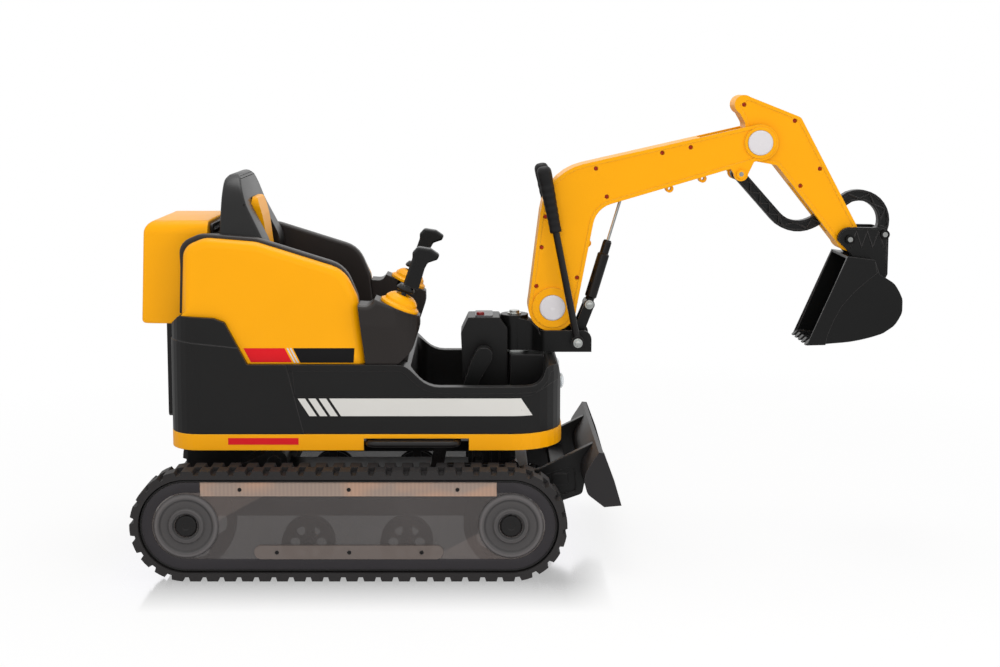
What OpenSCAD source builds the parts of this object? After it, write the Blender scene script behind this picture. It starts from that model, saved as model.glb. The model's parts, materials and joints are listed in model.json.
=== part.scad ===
// Ride-on toy excavator on rubber tracks. Millimetres, +X forward, +Y to the driver's left, +Z up.
// The origin lies on the floor under the middle of the whole machine.

/* [Tracks] */
// Distance between the axles of the end wheels
track_wheelbase = 606; // [560:2:660]
// Height of a track over its lugs
track_h = 210; // [196:1:224]
// Width of a rubber belt
track_w = 64; // [58:1:72]
// Distance between the centre lines of the tracks
track_gauge = 496; // [486:2:510]
// Thickness of the belt between its lugs
belt_t = 8; // [6:0.5:10]
// Height of the outer lugs
lug_h = 8; // [6:0.5:10]
// Lugs around one belt, per row
lug_count = 56; // [50:1:60]
// Diameter of a road wheel
road_wheel_d = 99; // [90:1:106]
// Diameter of the wheel axles
axle_d = 16; // [12:1:20]

/* [Body] */
// From the middle of the tracks back to the rear of the skirt
body_rear = 350; // [344:1:360]
// From the middle of the tracks forward to the front of the skirt
body_front = 405; // [400:1:420]
// Width of the skirt
body_w = 410; // [404:1:420]
// Free height between the tracks and the skirt
skirt_gap = 21; // [18:1:30]
// Height of the skirt
skirt_h = 31; // [28:1:40]
// Wall of the skirt
skirt_wall = 5; // [3:0.5:6]
// Depth of the footwell below the tray rim
footwell_d = 78; // [60:1:84]
// Height of the tray rim over the skirt
tray_rise = 91; // [88:1:100]
// Height of the seat deck over the skirt
seat_rise = 134; // [128:1:140]
// Height of the rear shoulder over the skirt
shoulder_rise = 226; // [220:1:232]
// Height of the front deck over the skirt
deck_rise = 126; // [122:1:130]
// Width of the front deck
deck_w = 116; // [110:1:124]

/* [Seat and consoles] */
// Width between the armrests
seat_w = 296; // [290:1:304]
// Width of the seat back
seat_back_w = 270; // [250:1:280]
// Height of the seat back's top over the seat deck
seat_back_rise = 356; // [340:1:370]
// Width of the rear box
rear_box_w = 250; // [230:1:264]
// Distance between the two joysticks
joystick_gauge = 348; // [344:1:356]
// Forward tilt of the joystick domes
dome_tilt = 23; // [16:1:28]
// Width of the front console
console_w = 80; // [74:1:90]
// Radius of the power button
button_r = 8; // [6:0.5:10]
// Length of the foot pedal
pedal_l = 122; // [112:1:130]

/* [Digging arm] */
// From the middle of the tracks to the king post
king_x = 315; // [310:1:320]
// Diameter of the king post
king_d = 40; // [34:1:44]
// Width of the boom
boom_w = 80; // [76:1:90]
// From the foot pin forward to the elbow pin
boom_reach = 409; // [390:1:430]
// From the foot pin up to the elbow pin
boom_rise = 329; // [315:1:345]
// Width of the stick
stick_w = 58; // [54:1:60]
// From the elbow pin forward to the bucket pin
stick_reach = 182; // [174:1:190]
// From the elbow pin down to the bucket pin
stick_drop = 192; // [184:1:200]
// Wall of the boom and stick shells
shell_wall = 4; // [3:0.25:5]
// Thickness of the bucket link
link_t = 19; // [16:1:21]
// Width of the bucket
bucket_w = 130; // [120:1:150]
// Diameter of the foot and elbow pins
arm_pin_d = 16; // [12:1:18]
// Diameter of the strut's cylinder
strut_d = 24; // [20:1:26]
// Length of a hand lever
lever_l = 356; // [330:1:380]
// Diameter of a lever's tube
lever_d = 14; // [12:1:16]
// Length of a lever's grip
grip_l = 133; // [110:1:145]

/* [Dozer blade] */
// Width of the blade
blade_w = 444; // [420:2:480]
// Distance between the blade arms' outer faces
blade_arms_w = 252; // [248:1:256]
// Diameter of the blade's handle bar
handle_d = 13; // [11:0.5:14]

/* [Hidden] */
$fn = 48;
run = 0.05;            // running clearance of a pin or shaft in its bore
free = 0.3;            // gap between parts that move past each other
arc_step = 11.25;      // largest turn of an outline's arc per segment

// Tracks
wheel_x = track_wheelbase / 2;
track_mid = track_h / 2;
belt_r = track_h / 2 - lug_h;
belt_in = belt_r - belt_t;
belt_loop = 2 * track_wheelbase + 2 * PI * belt_r;
lug_pitch = belt_loop / lug_count;
lug_gap = 8;
lug_draft = 2.5;
guide_w = 10;
guide_h = 9;
guide_root = 2;
rim_r = belt_in - 2.5;
cover_r = rim_r - 3.5;
rim_in = cover_r - 8;
rim_y = [-track_w / 2 + 5, -track_w / 2 + 15];
cover_t = 3.5;
cover_y = rim_y.x + 0.5;
plate_y = [track_w / 2 - 12, track_w / 2 - 6];
wheel_half = track_w / 2 - 18;
road_z = track_h / 2 - belt_in + road_wheel_d / 2 + free;
road_x = [-78, 107];
hub_r = 61;

// Body levels
skirt_z = track_h + skirt_gap;
base_z = skirt_z + skirt_h;
plate_t = 4;
tray_z = base_z + tray_rise;
seat_z = base_z + seat_rise;
shoulder_z = base_z + shoulder_rise;
deck_z = base_z + deck_rise;
floor_z = tray_z - footwell_d;
body_inset = 2;
well_x = [112, 372];
well_half = body_w / 2 - 20;

// Arm pins, as [x, z]
foot = [king_x + 75, deck_z + 92];
elbow = foot + [boom_reach, boom_rise];
tip_pin = elbow + [stick_reach, -stick_drop];
link_pin = elbow + [-37, -62];
curl_pin = tip_pin + [69, 10];
strut_low = foot + [75, 3];
strut_top = foot + [143, 232];
lever_pin = [king_x + 124, deck_z + 26];
lever_lean = 11.3;
small_pin_r = 5;
arm_pin_r = arm_pin_d / 2;
fork_half = stick_w / 2 + 1.3;
fork_r = 118;
ear_t = 7;
tongue_half = 22;
curl_play = 3.7;       // play of the link's open end, taken up by the loose curl pin
strut_play = 6.3;      // play of the strut's top eye on its pin

// Blade
blade_pin = [318, 150];
blade_arm_t = 13.7;
arm_y = blade_arms_w / 2;
crank_l = 34;
crank_lean = 12;
crank_pin = blade_pin + crank_l * [-sin(crank_lean), cos(crank_lean)];
rod_z = crank_pin.y + 0.37;
rod_r = 5;
rod_y = -arm_y - 8;
handle_x = [33, 202];
handle_y = -body_w / 2 - handle_d / 2 - 2.5;
handle_z = base_z - 17;
notch_x = [handle_x.x - 9, handle_x.y + 22];

// The overall length fixes the origin
bucket_front = curl_pin.x + 34;
box_rear = body_rear + 62;
origin_x = (bucket_front - box_rear) / 2;

yellow = [1.0, 0.66, 0.0];
black = [0.12, 0.11, 0.11];
rubber = [0.19, 0.19, 0.2];
steel = [0.7, 0.71, 0.72];
smoke = [0.4, 0.37, 0.35, 0.6];

// Outlines. A corner is [x, z] or [x, z, radius]
function flat(p) = [p.x, p.y];
function unit(v) = v / norm(v);
function turned(v, a) = [v.x * cos(a) - v.y * sin(a), v.x * sin(a) + v.y * cos(a)];
function left_of(v) = [-v.y, v.x];
function cross_of(u, v) = u.x * v.y - u.y * v.x;
function radius_of(c) = len(c) > 2 ? c[2] : 0;
function bend(a, c, b) =
    let (p = flat(c),
         u = unit(flat(a) - p),
         v = unit(flat(b) - p),
         half = acos(max(-1, min(1, u * v))) / 2,
         r = radius_of(c),
         centre = p + unit(u + v) * r / sin(half),
         start = p + u * r / tan(half) - centre,
         sweep = (180 - 2 * half) * (cross_of(u, v) < 0 ? 1 : -1),
         n = max(2, ceil(abs(sweep) / arc_step)))
    [for (k = [0:n]) centre + turned(start, sweep * k / n)];
function outline(c) =
    let (n = len(c))
    [for (i = [0:n - 1])
        each radius_of(c[i]) > 0 ? bend(c[(i + n - 1) % n], c[i], c[(i + 1) % n]) : [flat(c[i])]];
function open_line(c) =
    let (n = len(c))
    [for (i = [0:n - 1]) each radius_of(c[i]) > 0 ? bend(c[i - 1], c[i], c[i + 1]) : [flat(c[i])]];
// Corner list moved inwards by d, for a list that runs anticlockwise
function shrunk(c, d) =
    let (n = len(c))
    [for (i = [0:n - 1])
        let (p = flat(c[i]),
             a = left_of(unit(p - flat(c[(i + n - 1) % n]))),
             b = left_of(unit(flat(c[(i + 1) % n]) - p)),
             q = p + (a + b) * d / (1 + a * b),
             r = radius_of(c[i]),
             grown = cross_of(a, b) > 0 ? max(0, r - d) : r + d)
        [q.x, q.y, r > 0 ? grown : 0]];
// Strip of width w along an open line of points
function strip(p, w) =
    let (n = len(p),
         side = [for (i = [0:n - 1]) left_of(unit(p[min(i + 1, n - 1)] - p[max(i - 1, 0)])) * w / 2])
    concat([for (i = [0:n - 1]) p[i] - side[i]], [for (i = [n - 1:-1:0]) p[i] + side[i]]);

// Placing helpers
module placed() {
    translate([-origin_x, 0, 0]) children();
}
module side(y) {
    translate([0, y[1], 0]) rotate([90, 0, 0]) linear_extrude(y[1] - y[0]) children();
}
module rod_at(p, r, y) {
    translate([p.x, y[1], p.y]) rotate([90, 0, 0]) cylinder(r = r, h = y[1] - y[0]);
}
module block(lo, hi) {
    translate(lo) cube(hi - lo);
}
module both() {
    children();
    mirror([0, 1, 0]) children();
}
module right_track() {
    translate([0, -track_gauge / 2, 0]) children();
}
module spun(p, y) {
    translate([p.x, y, p.y]) rotate([90, 0, 0]) rotate_extrude() children();
}

// Tracks
function on_belt(s, off) =
    let (w = track_wheelbase,
         half_turn = PI * belt_r,
         t = s < 0 ? s + belt_loop : s >= belt_loop ? s - belt_loop : s,
         r = belt_r + off,
         a1 = (t - w) / belt_r * 180 / PI,
         a2 = (t - 2 * w - half_turn) / belt_r * 180 / PI)
    t < w ? [t - wheel_x, track_mid - r] :
    t < w + half_turn ? [wheel_x + r * sin(a1), track_mid - r * cos(a1)] :
    t < 2 * w + half_turn ? [wheel_x - (t - w - half_turn), track_mid + r] :
    [-wheel_x - r * sin(a2), track_mid + r * cos(a2)];
function lugged(shift) =
    let (l = lug_pitch - lug_gap)
    [for (i = [0:lug_count - 1])
        let (s = i * lug_pitch + shift)
        each [on_belt(s, 0), on_belt(s + lug_draft, lug_h), on_belt(s + l / 2, lug_h),
              on_belt(s + l - lug_draft, lug_h), on_belt(s + l, 0)]];
function guided() =
    let (n = lug_count / 2,
         pitch = 2 * lug_pitch,
         l = lug_pitch * 0.6,
         gap = pitch - l,
         root = guide_root - belt_t)
    [for (i = [0:n - 1])
        let (s = i * pitch)
        each [on_belt(s, root), on_belt(s + 3, -belt_t - guide_h), on_belt(s + l - 3, -belt_t - guide_h),
              on_belt(s + l, root), on_belt(s + l + gap / 3, root), on_belt(s + l + gap * 2 / 3, root)]];
module stadium(r) {
    for (x = [-wheel_x, wheel_x]) translate([x, track_mid]) circle(r);
    translate([-wheel_x, track_mid - r]) square([track_wheelbase, 2 * r]);
}
module belt() {
    color(rubber) right_track() {
        side([-track_w / 2, 0]) difference() {
            polygon(lugged(lug_gap / 2));
            stadium(belt_in);
        }
        side([0, track_w / 2]) difference() {
            polygon(lugged(lug_gap / 2 - lug_pitch / 2));
            stadium(belt_in);
        }
        side([-guide_w / 2, guide_w / 2]) difference() {
            stadium(belt_in + 2 * guide_root);
            polygon(guided());
        }
    }
}
module right_track_belt() {
    belt();
}
module left_track_belt() {
    mirror([0, 1, 0]) belt();
}
// Inner frame: end discs on the axles, a beam over the road wheels, and a hanger for each of these
beam_low = road_z + road_wheel_d / 2 + 4;
beam_high = beam_low + 22;
module inner_frame() {
    hanger = 9;
    post_x = wheel_x - 133;
    for (x = [-wheel_x, wheel_x]) translate([x, track_mid]) circle(44);
    translate([-wheel_x, beam_low]) square([track_wheelbase, beam_high - beam_low]);
    for (x = road_x) {
        translate([x, road_z]) circle(14);
        translate([x - hanger, road_z]) square([2 * hanger, beam_low - road_z + 1]);
    }
    for (x = [-post_x, post_x])
        translate([x - hanger, beam_low]) square([2 * hanger, track_mid + rim_in + 1 - beam_low]);
}
module track_frames() {
    beam_x = wheel_x - 113;
    beam_z = rim_in - 12;
    color(black) both() right_track() difference() {
        union() {
            side(plate_y) inner_frame();
            side(rim_y) stadium(rim_r);
            block([-beam_x, rim_y.y - 1, track_mid + beam_z],
                  [beam_x, plate_y.x + 1, track_mid + rim_in + 1]);
        }
        side([rim_y.x - 1, rim_y.y + 0.01]) difference() {
            stadium(rim_in);
            translate([-beam_x, track_mid + beam_z]) square([2 * beam_x, rim_in]);
        }
        side([rim_y.x - 1, cover_y + cover_t]) stadium(cover_r + free);
    }
}
module track_covers() {
    strip_x = wheel_x - 28;
    bar_x = 163;
    bar_z = 55;
    bar_r = 13;
    raised = 1.6;
    color(smoke) both() right_track() difference() {
        union() {
            side([cover_y, cover_y + cover_t]) stadium(cover_r);
            side([cover_y - raised, cover_y + 1])
                translate([-strip_x, track_mid + 57]) square([2 * strip_x, cover_r - 58]);
            side([cover_y - 2 * raised, cover_y + 1]) {
                translate([-bar_x, bar_z - bar_r]) square([2 * bar_x, 2 * bar_r]);
                for (x = [-bar_x, bar_x]) translate([x, bar_z]) circle(bar_r);
            }
        }
        for (x = [-wheel_x, wheel_x]) rod_at([x, track_mid], 21, [cover_y - 4, cover_y + cover_t + 1]);
    }
}
module hub_rings() {
    color([0.43, 0.41, 0.41]) both() right_track() for (x = [-wheel_x, wheel_x])
        spun([x, track_mid], cover_y) polygon([
            [22, 0], [hub_r, 0], [hub_r, 1.5], [hub_r - 3, 4], [hub_r - 9, 4], [hub_r - 13, 1.5],
            [34, 1.5], [31, 4.5], [26, 4.5], [22, 2]]);
}
module wheel_axles() {
    color(steel) both() right_track() {
        for (x = [-wheel_x, wheel_x]) {
            rod_at([x, track_mid], axle_d / 2, [cover_y + 1, plate_y.x]);
            spun([x, track_mid], cover_y + cover_t)
                polygon([[0, 0], [20, 0], [20, 5], [18, 7], [8, 7], [6, 6], [0, 6]]);
        }
        for (x = road_x) rod_at([x, road_z], axle_d / 2, [cover_y + cover_t + free, plate_y.x]);
    }
}
module wheel(p, r, hub, windows) {
    w = wheel_half;
    dish = 0.65 * w;
    groove = guide_w / 2 + 1;
    window_r = (r - guide_h - 6 - hub) / 2;
    translate([p.x, 0, p.y]) rotate([90, 0, 0]) difference() {
        rotate_extrude() polygon([
            [axle_d / 2 + run, -w], [hub, -w], [hub, -w + dish], [r - guide_h - 5, -w + dish],
            [r - guide_h - 5, -w], [r, -w], [r, -groove], [r - guide_h - 2, -groove],
            [r - guide_h - 2, groove], [r, groove],
            [r, w], [r - guide_h - 5, w], [r - guide_h - 5, w - dish], [hub, w - dish], [hub, w],
            [axle_d / 2 + run, w]]);
        for (k = [0:windows - 1]) rotate(k * 360 / windows)
            translate([hub + window_r, 0, -w]) cylinder(r = window_r, h = 2 * w);
    }
}
module end_wheel(x) {
    color([0.2, 0.2, 0.2]) right_track() wheel([x, track_mid], belt_in - free, 24, 5);
}
module road_wheel(x) {
    color([0.16, 0.16, 0.16]) right_track() wheel([x, road_z], road_wheel_d / 2, 15, 6);
}
module right_drive_wheel() {
    end_wheel(-wheel_x);
}
module right_idler_wheel() {
    end_wheel(wheel_x);
}
module right_rear_road_wheel() {
    road_wheel(road_x[0]);
}
module right_front_road_wheel() {
    road_wheel(road_x[1]);
}
module left_drive_wheel() {
    mirror([0, 1, 0]) end_wheel(-wheel_x);
}
module left_idler_wheel() {
    mirror([0, 1, 0]) end_wheel(wheel_x);
}
module left_rear_road_wheel() {
    mirror([0, 1, 0]) road_wheel(road_x[0]);
}
module left_front_road_wheel() {
    mirror([0, 1, 0]) road_wheel(road_x[1]);
}

// Chassis and drive
spine_half = 95;
front_half = arm_y - blade_arm_t - 2.3;
spine_z = [70, 140];
seat_under = base_z - plate_t;
module chassis_frame() {
    beam_end = track_gauge / 2 - plate_y.y;
    ear_x = [236, 250];
    wall = 6;
    inner = spine_half - wall;
    rear = -body_rear + 15;
    rear_block = -185;
    front_block = 222;
    beam_x = [-160, 257];
    color(black) difference() {
        union() {
            block([rear, -spine_half, spine_z.x], [blade_pin.x + 20, spine_half, spine_z.y]);
            block([rear, -spine_half, spine_z.x], [rear_block, spine_half, seat_under]);
            block([front_block, -front_half, spine_z.x], [king_x, front_half, seat_under]);
            block([300, -front_half, spine_z.x], [blade_pin.x + 22, front_half, blade_pin.y + 25]);
            for (x = beam_x) block([x - 15, -beam_end, beam_low + 1], [x + 15, beam_end, beam_high - 3]);
            both() {
                for (x = [230:17:281]) block([x, -front_half - 4, spine_z.y], [x + 4, 0, seat_under - 2]);
                rod_at(blade_pin, 8, [-arm_y - 0.4, 0]);
                rod_at(blade_pin, 12, [-arm_y - 4, -arm_y - free]);
            }
            block([ear_x.x, rod_y - 8, rod_z - 11], [ear_x.y, 0, rod_z + 11]);
        }
        translate([0, rod_y, rod_z]) rotate([0, 90, 0]) cylinder(r = rod_r + run, h = king_x);
        block([rear + wall, -inner, 0], [blade_pin.x + 8, inner, spine_z.y - wall]);
        block([rear + wall, -inner, 0], [rear_block - wall, inner, seat_under - wall]);
        block([front_block + wall, -inner, 0], [king_x - wall, inner, seat_under - wall]);
        for (x = [rear + 10:30:rear_block - 20]) block([x, -inner, 160], [x + 18, inner, seat_under + 1]);
    }
}
module gearmotors() {
    out = [-wheel_x, track_mid];
    can = [-156, track_mid + 85];
    case_y = [spine_half, 140];
    r = [40, 26];
    across = left_of(unit(can - out));
    web = r - [1.5, 1.5];
    color([0.16, 0.16, 0.17]) both() {
        side(case_y) {
            translate(out) circle(r[0]);
            translate(can) circle(r[1]);
            polygon([
                out + across * web[0], out - across * web[0], can - across * web[1], can + across * web[1]]);
        }
        rod_at(can, 20, [40, case_y.x + 1]);
        rod_at(can, 14, [case_y.y - 1, case_y.y + 6]);
        rod_at(out, 12, [case_y.y - 1, track_gauge / 2 - plate_y.y]);
    }
}

// Body shells
function plan(inset) = let (x0 = -body_rear + inset, x1 = body_front - inset, y = body_w / 2 - inset) [
    [x0, -y, 60 - inset], [x1, -y, 100 - inset], [x1, y, 100 - inset], [x0, y, 60 - inset]];
module skirt() {
    color(yellow) difference() {
        translate([0, 0, skirt_z]) linear_extrude(skirt_h) polygon(outline(plan(0)));
        translate([0, 0, skirt_z - 1]) linear_extrude(skirt_h - plate_t + 1)
            polygon(outline(plan(skirt_wall)));
        block([notch_x.x, -body_w / 2 - 1, skirt_z - 1],
              [notch_x.y, -body_w / 2 + skirt_wall + 1, base_z - 8]);
    }
}
tub_wall = 5;
shoulder_slope = [[-196, seat_z], [-238, shoulder_z - 12]];
tub_x = [-body_rear + body_inset, body_front - body_inset];
tub_corners = [
    [tub_x.x, base_z], [tub_x.y, base_z], [tub_x.y, tray_z, 20], [tub_x.y - 6, deck_z, 10],
    [tub_x.y - 30, deck_z, 12], [tub_x.y - 42, tray_z, 28], [146, tray_z, 56], [102, seat_z, 40],
    shoulder_slope[0], shoulder_slope[1], [-258, shoulder_z - 4],
    [tub_x.x + 22, shoulder_z, 10], [tub_x.x, shoulder_z - 20, 10]];
module tub_side() {
    polygon(outline(tub_corners));
}
deck_x = 306;
function well_plan(grow) = let (y = well_half + grow, r = 25 + grow, front = 60 + grow) [
    [well_x.x - grow, -y, r], [well_x.y + grow, -y, front], [well_x.y + grow, y, front],
    [well_x.x - grow, y, r]];
// Hollow underside of the body: its outer form moved in by the wall, less the footwell's own walls
module plan_block(z, h, corners) {
    translate([0, 0, z]) linear_extrude(h) polygon(outline(corners));
}
module tub_hollow() {
    inner = plan(body_inset + tub_wall);
    half = deck_w / 2 - tub_wall;
    difference() {
        union() {
            intersection() {
                plan_block(base_z, shoulder_rise, inner);
                side([-body_w, body_w]) polygon(outline(shrunk(tub_corners, tub_wall)));
            }
            plan_block(base_z - 1, tub_wall + 2, inner);
        }
        plan_block(floor_z - tub_wall, shoulder_rise, well_plan(tub_wall));
    }
    block([deck_x + tub_wall, -half, base_z - 1], [well_x.y + tub_wall + 1, half, deck_z - tub_wall]);
}
pedal_pin = [222, floor_z + 12];
pedal_y = [-100, -70];
battery_x = [-320, -200];
battery_half = 62;
battery_h = 92;
// Outer skin that wraps the rear corners and ends at a slanted seam
module rear_wrap() {
    difference() {
        intersection() {
            plan_block(base_z, shoulder_rise, plan(0.3));
            side([-body_w, body_w]) polygon([
                [-body_rear, base_z], [-90, base_z], [-123, seat_z], [-196, seat_z], [-213, seat_z + 32],
                [-328, seat_z + 44], [-body_rear, seat_z + 44]]);
        }
        block([-body_rear - 1, -rear_box_w / 2 - 1, base_z],
            [-body_rear + 30, rear_box_w / 2 + 1, shoulder_z]);
    }
}
// Upper half of the side, proud of the lower half, with a lip along its edge
module rim_band() {
    low = tray_z - 18;
    lip = 12;
    intersection() {
        plan_block(base_z, shoulder_rise, plan(0.9));
        side([-body_w, body_w]) intersection() {
            tub_side();
            polygon(outline([
                [-106, low], [342, low, 30], [body_front - 24, tray_z], [body_front + 1, tray_z + 6],
                [body_front + 1, shoulder_z], [-120, shoulder_z]]));
        }
    }
    intersection() {
        plan_block(base_z, shoulder_rise, plan(0.2));
        side([-body_w, body_w]) difference() {
            intersection() {
                tub_side();
                translate([-118, low + 1]) square([body_front + 100, shoulder_rise]);
            }
            polygon(outline(shrunk(tub_corners, lip)));
        }
    }
}
module lower_body() {
    color(black) difference() {
        union() {
            difference() {
                union() {
                    intersection() {
                        plan_block(base_z, shoulder_rise, plan(body_inset));
                        side([-body_w, body_w]) tub_side();
                    }
                    rear_wrap();
                    rim_band();
                }
                plan_block(floor_z, shoulder_rise, well_plan(0));
            }
            block([deck_x, -deck_w / 2, floor_z - 1], [well_x.y + 1, deck_w / 2, deck_z]);
            for (y = [pedal_y.x - 4, pedal_y.y + free])
                side([y, y + 4 - free]) {
                    translate(pedal_pin) circle(9);
                    translate([pedal_pin.x - 9, floor_z - 1]) square([18, pedal_pin.y - floor_z + 1]);
                }
            rod_at(pedal_pin, 4, [pedal_y.x - 3, pedal_y.y + 3]);
        }
        tub_hollow();
    }
}
box_foot = shoulder_z - 26;
module rear_plate() {
    x = -body_rear + body_inset;
    half = rear_box_w / 2;
    color(black) difference() {
        translate([x - 15, 0, 0]) rotate([90, 0, 90]) linear_extrude(15) polygon(outline([
            [-half, base_z + 16, 12], [half, base_z + 16, 12], [half, box_foot], [-half, box_foot]]));
        for (z = [base_z + 50:24:base_z + 146])
            block([x - 16, -half + 30, z], [x - 11, half - 30, z + 10]);
    }
}
module battery() {
    pole = [battery_x.x + 20, battery_half - 26];
    color([0.25, 0.25, 0.28]) {
        block([battery_x.x, -battery_half, base_z], [battery_x.y, battery_half, base_z + battery_h - 8]);
        both() block([pole.x, pole.y, base_z], [pole.x + 14, pole.y + 14, base_z + battery_h]);
    }
}
panel_front = [[28, seat_z], [13, seat_z + 126]];
function panel_corners(up) = [
    [-330, base_z], [panel_front[0].x, base_z], panel_front[0], [panel_front[1].x, panel_front[1].y, 30],
    [-12, seat_z + 178 + up, 60], [-180, seat_z + 231 + up, 60], [-277, seat_z + 239 + up, 45],
    [-317, seat_z + 222 + up, 30], [-322, shoulder_z]];
module upper_side(up) {
    difference() {
        polygon(outline(panel_corners(up)));
        tub_side();
    }
}
panel_y = [seat_w / 2 + 24, seat_w / 2 + 45];
// Hollow that the panel and the armrest behind it share, open between them
module panel_hollow() {
    intersection() {
        polygon(outline(shrunk(panel_corners(0), 9)));
        translate([-180, seat_z + 8]) square([220, 240]);
    }
}
module side_panels() {
    color(yellow) both() difference() {
        side([-panel_y.y, -panel_y.x]) upper_side(0);
        side([-panel_y.y + 6, -panel_y.x + 1]) panel_hollow();
    }
}
module armrests() {
    color(black) both() difference() {
        side([-panel_y.x, -seat_w / 2]) upper_side(7);
        side([-panel_y.x - 1, -seat_w / 2 - 6]) panel_hollow();
    }
}
seat_corners = [
    [-262, seat_z - 20], [104, seat_z - 20], [108, seat_z + 30, 14], [60, seat_z + 44, 30],
    [-140, seat_z + 32, 60], [-200, seat_z + 70, 50], [-222, seat_z + 140, 8], [-240, seat_z + 140, 4],
    [-262, shoulder_z]];
module seat_side() {
    polygon(outline(seat_corners));
}
module seat_shell() {
    half = seat_w / 2 - free;
    wall = 5;
    color(black) difference() {
        side([-half, half]) difference() {
            seat_side();
            tub_side();
        }
        side([-half + wall, half - wall]) intersection() {
            polygon(outline(shrunk(seat_corners, wall)));
            translate([-190, seat_z - 1]) square([300, 200]);
        }
        for (y = [-90, 0, 90])
            translate([-10, y, seat_z + 49]) rotate([0, 90, 0]) cylinder(r = 12, h = 200, center = true);
    }
}
back_x = -256;
module seat_back() {
    top = seat_z + seat_back_rise;
    half = seat_back_w / 2;
    foot_z = seat_z + 140;
    color(black) difference() {
        intersection() {
            side([-half, half]) polygon(outline([
                [back_x + 16, shoulder_z + 2], [back_x + 60, foot_z, 6], [-160, foot_z + 64, 50],
                [-206, top - 60, 120], [-224, top, 16], [-252, top - 4, 16], [back_x - 2, seat_z + 230, 90],
                [back_x + 2, foot_z, 10]]));
            translate([-400, 0, 0]) rotate([90, 0, 90]) linear_extrude(300) polygon(outline([
                [-half + 25, shoulder_z, 10], [half - 25, shoulder_z, 10], [half, foot_z + 70, 60],
                [half - 20, top, 70], [-half + 20, top, 70], [-half, foot_z + 70, 60]]));
        }
        side([-62, 62]) polygon(outline([
            [back_x + 40, foot_z - 20], [-120, foot_z - 20], [-120, top - 30], [-205, top - 40, 20],
            [-216, foot_z + 130, 200], [-190, foot_z + 40, 80]]));
        side([-body_w, body_w]) seat_side();
        side([-body_w, body_w]) tub_side();
    }
}
module seat_back_insert() {
    top = seat_z + seat_back_rise;
    foot_z = seat_z + 140;
    color(yellow) intersection() {
        side([-52, 52]) difference() {
            polygon(outline([
                [-205, foot_z + 20], [-170, foot_z + 24], [-185, foot_z + 130, 200], [-196, top - 50, 6],
                [-214, top - 50, 6]]));
            polygon(outline([
                [back_x - 90, foot_z - 20], [back_x - 90, top], [-205, top], [-205, top - 40, 20],
                [-216, foot_z + 130, 200], [-190, foot_z + 40, 80], [back_x + 40, foot_z - 20]]));
        }
        translate([-400, 0, 0]) rotate([90, 0, 90]) linear_extrude(300) polygon(outline([
            [-36, foot_z + 30, 10], [36, foot_z + 30, 10], [50, top - 46, 24], [-50, top - 46, 24]]));
    }
}
grille_half = 96;
grille_z = [seat_z + 158, seat_z + 258];
module rear_box_side() {
    front = -281;
    rear = -box_rear;
    top = seat_z + 266;
    difference() {
        polygon(outline([
            [front, box_foot - 14], [front, top, 5], [rear + 8, top, 24], [rear, box_foot, 8],
            [tub_x.x, box_foot], [tub_x.x, box_foot - 14]]));
        tub_side();
    }
}
module rear_box() {
    half = rear_box_w / 2;
    top = seat_z + 266;
    color(yellow) difference() {
        intersection() {
            side([-half, half]) rear_box_side();
            translate([-box_rear - 1, 0, 0]) rotate([90, 0, 90]) linear_extrude(200) polygon(outline([
                [-half + 3, base_z], [half - 3, base_z], [half, top, 25], [-half, top, 25]]));
        }
        block([-box_rear + 18, -grille_half + 8, grille_z.x + 8], [-280, grille_half - 8, grille_z.y - 8]);
        block([-box_rear + 16, -half + 10, shoulder_z + 8], [-289, half - 10, top - 8]);
    }
}
module rear_grille() {
    top = grille_z.y;
    half = grille_half;
    color(black) difference() {
        translate([-281, 0, 0]) rotate([90, 0, 90]) linear_extrude(6) polygon(outline([
            [-half, grille_z.x, 8], [half, grille_z.x, 8], [half, top, 8], [-half, top, 8]]));
        for (z = [grille_z.x + 10:13:top - 12]) block([-279, -half + 10, z], [-274, half - 10, z + 7]);
    }
}

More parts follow.
